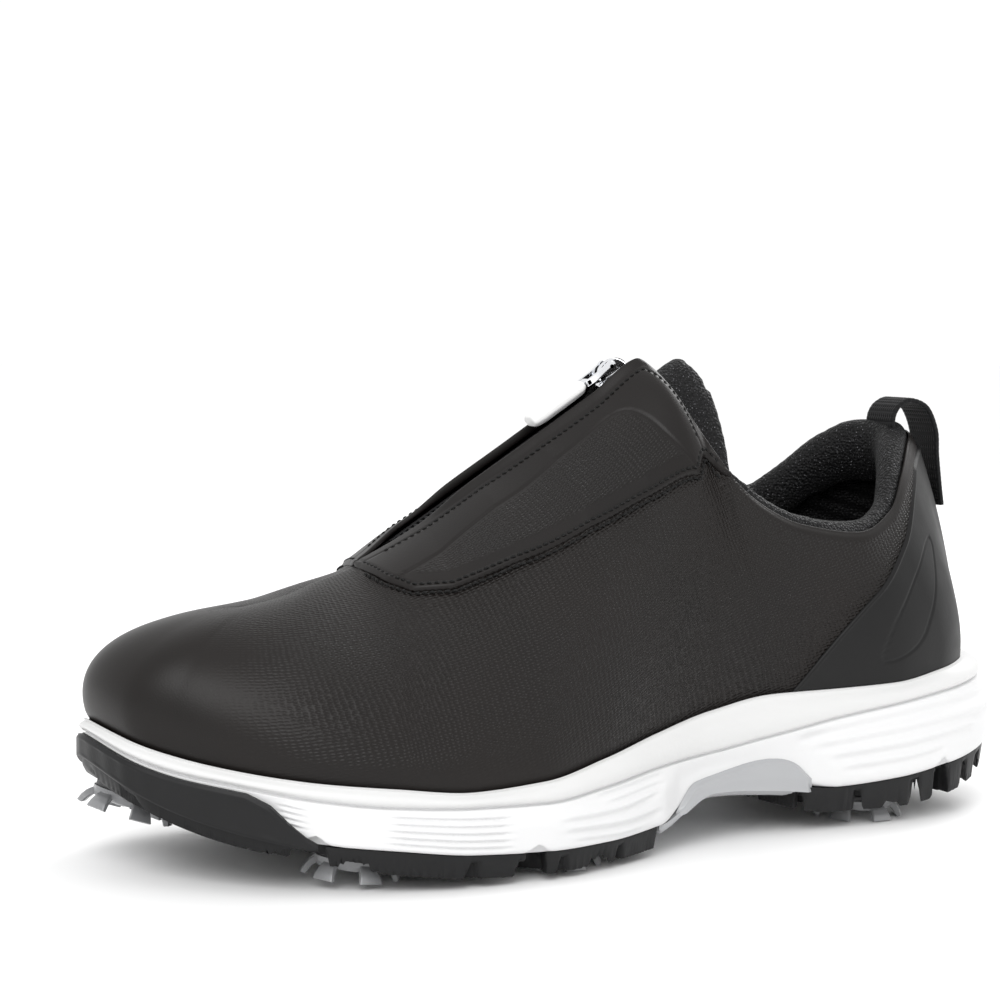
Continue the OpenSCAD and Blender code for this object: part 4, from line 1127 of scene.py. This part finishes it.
def cleat_shape():
    """The cleat in its own frame: seat at z = 0, stud up, legs down."""
    parts = []
    # hub: a swirl of petals on a shallow dome, with two key holes
    radii = np.concatenate([[0.01], np.linspace(0.5, 10.2, 42), [10.45, 10.5]])
    angles = np.linspace(0, 2 * math.pi, 216, endpoint=False)
    r, a = np.meshgrid(radii, angles, indexing="ij")
    swirl = a - math.radians(30) + 0.85 * np.sin(r / 10.5 * math.pi) + 0.25 * r / 10.5
    f = np.mod(swirl * 6 / (2 * math.pi) + 0.5, 1) - 0.5
    petal = step((0.36 - np.abs(f)) / 0.16) * step((r - 1.2) / 2.5)
    lean = 0.5 + f
    z = -2.2 - 1.15 * (1 - (r / 10.5) ** 2) - 0.75 * petal * (0.55 + 0.6 * lean) - 0.35 * step((2.6 - r) / 2)
    z += 1.1 * step((r - 9.9) / 0.6)
    for s in (-1, 1):
        q = np.hypot(r * np.cos(a), r * np.sin(a) - s * 6.85)
        z = np.where(q < 2.7, z - 0.25 * (1 - step((q - 2.0) / 0.7)), z)
        z = np.where(q < 1.75, -0.9 - 1.6 * step((q - 1.35) / 0.4), z)
    lower = np.stack([r * np.cos(a), r * np.sin(a), z], -1)
    upper = np.stack([r * np.cos(a), r * np.sin(a), np.full_like(r, -0.15)], -1)
    parts.append(slab(lower, upper, wrap=True))
    # legs: paddles that widen outwards and bend down to the ground
    path = np.array([[7.6, -1.5], [9.6, -1.9], [11.0, -3.0], [12.0, -4.4], [12.7, -5.9]])
    wide = np.array([3.6, 4.2, 4.9, 5.7, 6.3]) / 2
    thick = np.array([0.9, 1.0, 1.0, 0.95, 0.8])
    fine = np.linspace(0, 4, 17)
    path = np.stack([np.interp(fine, range(5), path[:, k]) for k in (0, 1)], -1)
    wide, thick = np.interp(fine, range(5), wide), np.interp(fine, range(5), thick)
    d = np.gradient(path, axis=0)
    d /= np.linalg.norm(d, axis=1, keepdims=True)
    n = np.stack([-d[:, 1], d[:, 0]], -1)
    corner = np.array([[-1, -.7], [-.85, -1], [.85, -1], [1, -.7], [1, .7], [.85, 1], [-.85, 1], [-1, .7]])
    for k in range(6):
        g = math.radians(30 + 60 * k)
        c, s = math.cos(g), math.sin(g)
        rings = []
        for p, m, w, t in zip(path, n, wide, thick):
            twist = 0.25 * (p[0] - 9) / 3
            ring = []
            for e, h in corner:
                x, z = p[0] + m[0] * h * t, p[1] + m[1] * h * t
                y = e * w + twist
                ring.append([x * c - y * s, x * s + y * c, max(z, -6.0)])
            rings.append(ring)
        parts.append(tube(np.array(rings)))
    # stud with its bayonet lugs
    a = np.arange(40) * math.pi / 20
    ring = np.stack([np.cos(a), np.sin(a), 0 * a], -1)
    profile = [(4.5, -0.4), (4.5, 2.2), (4.2, 2.5), (4.2, 4.3), (3.9, 4.6)]
    parts.append(tube(np.array([ring * [q, q, 1] + [0, 0, z] for q, z in profile])))
    for k in range(3):
        g = math.radians(120 * k)
        box = np.array([[x, y] for x, y in ((3.6, -1.7), (5.9, -1.6), (6.1, 0), (5.9, 1.6), (3.6, 1.7))])
        turned = box @ np.array([[math.cos(g), math.sin(g)], [-math.sin(g), math.cos(g)]])
        parts.append(tube(np.array([np.column_stack([turned, np.full(5, z)]) for z in (2.45, 2.7, 3.95, 4.15)])))
    return join(parts)


def make_cleats():
    points, faces = cleat_shape()
    for name, (x, y, z, tilt) in CLEATS.items():
        t = math.radians(tilt)
        turn = np.array([[math.cos(t), 0, math.sin(t)], [0, 1, 0], [-math.sin(t), 0, math.cos(t)]])
        piece(name + "_body", points @ turn.T + [x, y, z], faces, M["cleat"], body=name,
              stands_for=[name], sharp=40)


def make_insole():
    u = np.arange(0, ROUND, 0.12)
    inset = feather_inset(u) + LINING_AT + LINING + 0.5
    base = feather_z(u) - CUP + LEATHER + 0.9 + 2.0 + 0.4
    shape = [(0.6, 0.0), (0.1, 0.3), (0.0, 1.0), (0.0, 3.4), (0.35, 4.4), (1.0, 4.85), (2.0, 5.0), (4.5, 4.75)]
    rings = [wall(u, inset + i, base + z) for i, z in shape]
    c = len(u)
    grid = np.stack(rings)
    faces = [tuple(int(i) for i in f) for f in grid_quads(len(rings), c, True)]
    for row in (0, len(rings) - 1):
        for i in range(c // 2):
            q = [row * c + i, row * c + i + 1, row * c + (c - i - 1) % c, row * c + (c - i) % c]
            faces.append(tuple(dict.fromkeys(q)))
    obj = piece("insole_cushion", grid.reshape(-1, 3), faces, M["insole"], stands_for=["insole"])


make_midsole()
make_outsole()
make_shank()
make_cleats()
make_insole()


# ---- padded pieces ----

def inflate(obj, voxel, cap, pressure=4.0):
    """Swells a closed soft form with a cloth simulation; no point moves further than cap millimetres."""
    modify(obj, "REMESH", mode="VOXEL", voxel_size=voxel * MM, use_smooth_shade=True)
    apply_modifiers(obj)
    mesh = obj.data
    count = len(mesh.vertices)
    rest = np.zeros(count * 3)
    mesh.vertices.foreach_get("co", rest)
    rest = rest.reshape(-1, 3)
    cloth = modify(obj, "CLOTH")
    cloth.settings.use_pressure = True
    cloth.settings.uniform_pressure_force = pressure
    cloth.settings.quality = 6
    cloth.settings.mass = 0.05
    cloth.settings.effector_weights.gravity = 0
    scene = bpy.context.scene
    cloth.point_cache.frame_start, cloth.point_cache.frame_end = 1, 20
    for f in range(1, 21):
        scene.frame_set(f)
    swollen = obj.evaluated_get(bpy.context.evaluated_depsgraph_get()).to_mesh()
    moved = np.zeros(count * 3)
    swollen.vertices.foreach_get("co", moved)
    obj.modifiers.clear()
    d = moved.reshape(-1, 3) - rest
    far = np.linalg.norm(d, axis=1, keepdims=True)
    d *= np.minimum(1, cap * MM / np.maximum(far, 1e-9))
    mesh.vertices.foreach_set("co", (rest + d).ravel())
    mesh.update()
    scene.frame_set(1)
    modify(obj, "CORRECTIVE_SMOOTH", factor=0.5, iterations=3, use_only_smooth=True)
    modify(obj, "SUBSURF", levels=1, render_levels=1)
    apply_modifiers(obj)
    obj.data.polygons.foreach_set("use_smooth", np.ones(len(obj.data.polygons), bool))
    obj.data.materials.clear()
    obj.data.materials.append(bpy.data.materials[obj["fabric"]])


def pad_thickness(u):
    return 8.0 + 3.2 * step((folded(u) - 14.5) / 3)


def make_collar():
    u = np.linspace(10.95, 25.05, 240)
    # inward and upward from the inside of the leather's top edge
    shape = rounded([[0.6, -13], [0.15, -8], [0.05, -4], [-0.35, -0.6], [0.1, 2.0], [2.2, 4.1],
                     [5.0, 4.2], [7.2, 2.0], [8.0, -2.5], [7.4, -8], [5.0, -14], [2.2, -17.5],
                     [1.0, -17]], 36, 3, closed=True)[:-1]
    n = np.concatenate([outward(u), np.zeros((len(u), 1))], -1)
    base = skin(u, 1.0, LEATHER)
    ends = np.minimum(step((u - 10.8) / 0.9), step((25.2 - u) / 0.9))
    rings = []
    for k in range(len(u)):
        t = pad_thickness(u[k]) / 8.0
        a, z = shape[:, 0] * t, shape[:, 1].copy()
        low = z < 0
        z[low] *= 0.55 + 0.45 * ends[k]
        a = a * (0.35 + 0.65 * ends[k]) + 0.15
        rings.append(base[k] - n[k] * a[:, None] + np.array([0, 0, 1.0]) * (z[:, None] - 0.6))
    points, faces = tube(np.array(rings))
    obj = piece("collar_padding_roll", points, faces, M["knit"], stands_for=["collar_padding"])
    obj["fabric"] = M["knit"].name
    inflate(obj, 1.9, 1.1)


ZIP_TOP = np.array([17, CENTRE_Y, 138.3])
ZC, ZS = 18 / math.hypot(18, 11.5), 11.5 / math.hypot(18, 11.5)


def zip_place(p):
    """From the zip's frame (x up the zip, z away from the foot) to the shoe's."""
    p = np.asarray(p, float)
    x, y, z = p[..., 0], p[..., 1], p[..., 2]
    return ZIP_TOP + np.stack([x * ZC - z * ZS, y, x * ZS + z * ZC], -1)


def make_tongue():
    w = np.linspace(-1, 1, 70)
    k = np.linspace(0, 1, 110)
    kk, ww = np.meshgrid(k, w, indexing="ij")

    def grid(t):
        reach = 16.5 * (1 - np.abs(ww) ** 2.6)
        a = -88 + (88 + reach) * kk
        share = (a + 88) / 88
        drop, half = 14 + 17 * share, 21 + 3.8 * share
        edge = np.minimum(1, np.minimum(1 - np.abs(ww), (1 - kk) * 4) / 0.16)
        round_ = np.sqrt(np.clip(1 - (1 - edge) ** 2, 0, 1))
        mid, thick = 2.4, 2.5 * (0.18 + 0.82 * round_)
        depth_ = mid + (thick if t else -thick)
        z = -6 - depth_ - drop * np.abs(ww) ** 1.7 + 3 * np.maximum(0, share - 1)
        return zip_place(np.stack([a, (half - depth_ * 0.5) * ww, z], -1))

    points, faces = slab(grid(0), grid(1))
    obj = piece("tongue_gusset_knit", points, faces, M["knit"], stands_for=["tongue_gusset"])
    obj["fabric"] = M["knit"].name
    inflate(obj, 1.9, 0.45, 2.0)


LOOP_PATH = [[111.4, 117.6], [111.0, 121], [111.8, 123.9], [114, 126.3], [118, 127.6], [124, 125.2],
             [127.7, 118], [128.4, 110], [129.6, 101], [130.7, 94]]
LOOP_Y, LOOP_W = 8.5, 14.0


def spline(points, per):
    """The CAD's curve through the points."""
    p = np.asarray(points, float)
    n = len(p)
    out = []
    for k in range(per * (n - 1) + 1):
        i = min(k // per, n - 2)
        f = k / per - i
        a, b, c, d = p[max(i - 1, 0)], p[i], p[i + 1], p[min(i + 2, n - 1)]
        out.append(b + 0.5 * f * (c - a + f * (2 * a - 5 * b + 4 * c - d + f * (3 * (b - c) + d - a))))
    return np.array(out)


def make_loop():
    path = spline(LOOP_PATH, 50)
    path = along(path, 460)
    d = np.gradient(path, axis=0)
    d /= np.linalg.norm(d, axis=1, keepdims=True)
    n = np.stack([-d[:, 1], d[:, 0]], -1)
    run = np.concatenate([[0], np.cumsum(np.linalg.norm(np.diff(path, axis=0), axis=1))])
    y = np.linspace(-1, 1, 30)
    rib = 0.30 * np.abs(np.sin(math.pi * run / 1.55)) ** 0.8
    selvedge = 1 - 0.7 * step((np.abs(y) - 0.9) / 0.1)

    def side(s):
        off = s * (0.52 + rib[:, None] * selvedge * (0.8 + 0.2 * np.sin(y * 40)))
        p = path[:, None, :] + n[:, None, :] * off[..., None]
        return np.stack([p[..., 0], np.broadcast_to(LOOP_Y + y * LOOP_W / 2, p.shape[:2]), p[..., 1]], -1)

    points, faces = slab(side(1), side(-1))
    uv = np.stack(np.broadcast_arrays(run[:, None], (y * LOOP_W / 2)[None]), -1).reshape(-1, 2)
    piece("pull_loop_webbing", points, faces, M["web"], stands_for=["pull_loop"],
          uv=both(uv, 2))
    lines = []
    for at_run in (run[-1] - 2.4, run[-1] - 4.8):
        i = int(np.searchsorted(run, at_run))
        ys = np.linspace(LOOP_Y - 6, LOOP_Y + 6, 20)
        for face in (-1, 1):
            c = path[i] + n[i] * face * 0.85
            line = np.stack([np.full(20, c[0]), ys, np.full(20, c[1])], -1)
            lines.append((line, np.tile([n[i][0] * face, 0, n[i][1] * face], (20, 1))))
    stitches("pull_loop_stitching", lines, 1.7, 1.5, 0.24)


# ---- zip ----

def bar(x0, x1, y0, y1, z0, z1, soft=0.2):
    """A block with softened edges, lying along y."""
    prof = np.array([[x0 + soft, z0], [x1 - soft, z0], [x1, z0 + soft], [x1, z1 - soft],
                     [x1 - soft, z1], [x0 + soft, z1], [x0, z1 - soft], [x0, z0 + soft]])
    mid = prof.mean(0)
    rings = []
    for y, s in ((y0, 0.8), (y0 + soft, 1), (y1 - soft, 1), (y1, 0.8)):
        q = mid + (prof - mid) * s
        rings.append(np.column_stack([q[:, 0], np.full(8, y), q[:, 1]]))
    return tube(np.array(rings))


def extrude(outline_xy, levels, axis="z"):
    """Rings of an outline at several (height, inset share) levels."""
    p = np.asarray(outline_xy, float)
    mid = p.mean(0)
    rings = []
    for h, s in levels:
        q = mid + (p - mid) * s
        level = np.full(len(q), h)
        rings.append(np.column_stack([q, level] if axis == "z" else [q[:, 0], level, q[:, 1]]))
    return tube(np.array(rings))


def bent_rod(path, radius, sides=10, flat=1.0):
    path = np.asarray(path, float)
    d = np.gradient(path, axis=0)
    d /= np.linalg.norm(d, axis=1, keepdims=True)
    e = np.tile([0, 0, 1.0], (len(path), 1))
    s = np.cross(d, e)
    s /= np.maximum(np.linalg.norm(s, axis=1, keepdims=True), 1e-9)
    e = np.cross(s, d)
    a = np.arange(sides) * 2 * math.pi / sides
    rings = path[:, None] + radius * (np.cos(a)[:, None] * s[:, None] + flat * np.sin(a)[:, None] * e[:, None])
    return tube(rings)


def zip_piece(name, shapes, material, body, stands_for, sharp=45, bevel=0.0):
    points, faces = join(shapes)
    obj = piece(name, zip_place(points), faces, material, body=body, stands_for=stands_for, sharp=sharp)
    if bevel:
        modify(obj, "BEVEL", width=bevel * MM, segments=3, limit_method="ANGLE")
    return obj


TOOTH_IN, TOOTH_OUT, CHAIN = 0.45, 2.65, 92.0
SLIDER_L, SLIDER_W, CROWN_X, CROWN_Z = 13.0, 8.6, -7.0, 4.6


def make_zip():
    for side, name in ((0, "lateral"), (1, "medial")):
        s = -1 if side == 0 else 1
        teeth = []
        for k in range(int((CHAIN - 4) / 2)):
            x = -3 - k * 2 - side
            y0, y1 = sorted((s * TOOTH_IN, s * TOOTH_OUT))
            teeth.append(bar(x, x + 1.25, y0, y1, -2.2, -0.5, 0.35))
        cord = [[x, s * 3.0, -0.75 + 0.1 * math.sin(x * 3)] for x in np.arange(-CHAIN, -2, 0.6)]
        teeth.append(bent_rod(cord, 0.28))
        zip_piece("zip_teeth_" + name + "_coil", teeth, M["coil"], "shoe", ["zip_teeth_" + name])
    stops = [bar(-1.6, 0.6, *sorted((s * TOOTH_IN, s * TOOTH_OUT)), -2.4, -0.4, 0.4) for s in (-1, 1)]
    zip_piece("zip_top_stops_metal", stops, M["chrome"], "shoe", ["zip_top_stops"])
    bottom = bar(-CHAIN - 2, -CHAIN + 1, -TOOTH_OUT, TOOTH_OUT, -2.5, -0.3, 0.5)
    zip_piece("zip_bottom_stop_metal", [bottom], M["chrome"], "shoe", ["zip_bottom_stop"])

    half = SLIDER_W / 2
    plate = rounded([[-SLIDER_L, -half + 0.9], [-SLIDER_L, half - 0.9], [-8.5, half - 0.7], [-3.5, half],
                     [-0.6, half - 0.5], [0, 1.6], [-1.2, 0], [0, -1.6], [-0.6, -half + 0.5],
                     [-3.5, -half], [-8.5, -half + 0.7]], 60, 2, closed=True)[:-1]
    shapes = [extrude(plate, [(0.3, 0.97), (0.5, 1), (1.1, 1), (1.5, 0.96), (1.7, 0.88)]),
              extrude(plate, [(-4.4, 0.9), (-4.2, 0.97), (-3.4, 1), (-3.1, 0.97)])]
    for s in (-1, 1):
        side = s * (half - 0.35)
        shapes.append(bar(-SLIDER_L + 0.6, -0.8, side - 0.35, side + 0.35, -0.6, 0.7, 0.2))
    shapes.append(extrude([[-4, -0.2], [-0.9, -0.2], [-0.9, 0.2], [-4, 0.2]], [(-3.2, 1), (0.4, 1)]))
    bridge = rounded([[-11.9, 1.45], [-11.4, 3.4], [-9.8, 5.7], [-7, 6.3], [-4.4, 5.9], [-2.6, 4.3],
                      [-1.2, 1.45], [-3.2, 1.45], [-4.6, 3.1], [-5.6, 3.5], [-8.4, 3.5], [-9.4, 3.0],
                      [-9.9, 1.45]], 70, 2, closed=True)[:-1]
    shapes.append(extrude(bridge, [(-1.0, 0.94), (-0.75, 1), (0.75, 1), (1.0, 0.94)], axis="y"))
    zip_piece("zip_slider_metal", shapes, M["chrome"], "slider", ["zip_slider"], 35)

    pin = np.array([[CROWN_X + 0.8 * math.cos(a), CROWN_Z + 0.8 * math.sin(a)] for a in np.arange(20) * math.pi / 10])
    link = [extrude(pin, [(-3.0, 0.8), (-2.8, 1), (2.8, 1), (3.0, 0.8)], axis="y")]
    for s in (-1, 1):
        cheek = [[CROWN_X + 1.7 * math.cos(a), CROWN_Z + 1.7 * math.sin(a)]
                 for a in np.linspace(-math.pi / 2, math.pi / 2, 12)]
        cheek += [[CROWN_X - 3.5, CROWN_Z + 1.05], [CROWN_X - 9.8, CROWN_Z + 0.85],
                  [CROWN_X - 9.8, CROWN_Z - 0.85], [CROWN_X - 3.5, CROWN_Z - 1.05]]
        levels = [(s * 2.4 - 0.6, 0.95), (s * 2.4 - 0.4, 1), (s * 2.4 + 0.4, 1), (s * 2.4 + 0.6, 0.95)]
        link.append(extrude(cheek, levels, axis="y"))
    link.append(bar(CROWN_X - 9.8, CROWN_X - 8.0, -3, 3, CROWN_Z - 0.85, CROWN_Z + 0.85, 0.25))
    link.append(bar(CROWN_X - 13.5, CROWN_X - 9.0, -1.5, 1.5, CROWN_Z - 0.6, CROWN_Z + 0.6, 0.15))
    zip_piece("zip_pull_link_metal", link, M["chrome"], "pull", ["zip_pull_link"], 40)

    x0 = CROWN_X - 10.25
    # distance along the grip, half its width, half its height
    stations = [(0.0, 2.9, 1.2), (1.2, 3.8, 2.2), (3.0, 3.9, 2.45), (9.0, 3.9, 2.6), (17.0, 3.9, 2.6),
                (19.4, 3.6, 2.2), (20.2, 3.1, 1.8)]
    shape = np.array([[-1, -.25], [-.62, -.86], [.62, -.86], [1, -.25], [1, .25], [.55, 1], [-.55, 1], [-1, .25]])
    rings = []
    for x, w, h in stations:
        rings.append(np.column_stack([np.full(8, x0 - x), shape[:, 0] * w, CROWN_Z + shape[:, 1] * h]))
    grip = zip_piece("zip_pull_grip_plastic", [tube(np.array(rings))], M["grip"], "pull", ["zip_pull_grip"], 30)
    modify(grip, "BEVEL", width=0.35 * MM, segments=3, limit_method="ANGLE", angle_limit=math.radians(22))


make_collar()
make_tongue()
make_loop()
make_zip()


# ---- CAD nodes that stay, with their materials ----

KEPT = {
    "toe_puff": "stiff", "heel_stiffener": "stiff", "strobel_board": "board", "cleat_receptacles": "nylon",
    "zip_tape_lateral": "tape", "zip_tape_medial": "tape"}


def dress_kept_nodes():
    for name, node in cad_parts.items():
        if not node.hide_render:
            node.data.materials.clear()
            node.data.materials.append(M[KEPT.get(name, "stiff")])


# ---- floor and light ----

def make_stage():
    mesh = bpy.data.meshes.new("floor")
    mesh.from_pydata([(-6, -6, 0), (6, -6, 0), (6, 6, 0), (-6, 6, 0)], [], [(0, 1, 2, 3)])
    floor = bpy.data.objects.new("floor", mesh)
    bpy.context.scene.collection.objects.link(floor)
    s = Shader("floor_paper", (0.97, 0.97, 0.97), 0.8, Specular_IOR_Level=0.2)
    mesh.materials.append(s.mat)
    world = bpy.data.worlds.new("studio")
    bpy.context.scene.world = world
    world.use_nodes = True
    world.node_tree.nodes["Background"].inputs["Color"].default_value = (1, 1, 1, 1)
    world.node_tree.nodes["Background"].inputs["Strength"].default_value = 1.04


def soft_light(name, place, aim, size, power, tone=(1, 1, 1)):
    data = bpy.data.lights.new(name, "AREA")
    data.shape, data.size, data.size_y = "RECTANGLE", size[0], size[1]
    data.energy, data.color = power, tone
    light = bpy.data.objects.new(name, data)
    bpy.context.scene.collection.objects.link(light)
    light.location = place
    light.rotation_mode = "QUATERNION"
    light.rotation_quaternion = (Vector(aim) - Vector(place)).to_track_quat("-Z", "Y")


bpy.context.scene.view_settings.view_transform = "Standard"
make_stage()
soft_light("key", (-0.7, -0.9, 1.0), (0, 0, 0.05), (0.8, 0.8), 9)
soft_light("rim", (0.9, 0.5, 0.9), (0, 0, 0.06), (0.7, 0.7), 7)
dress_kept_nodes()
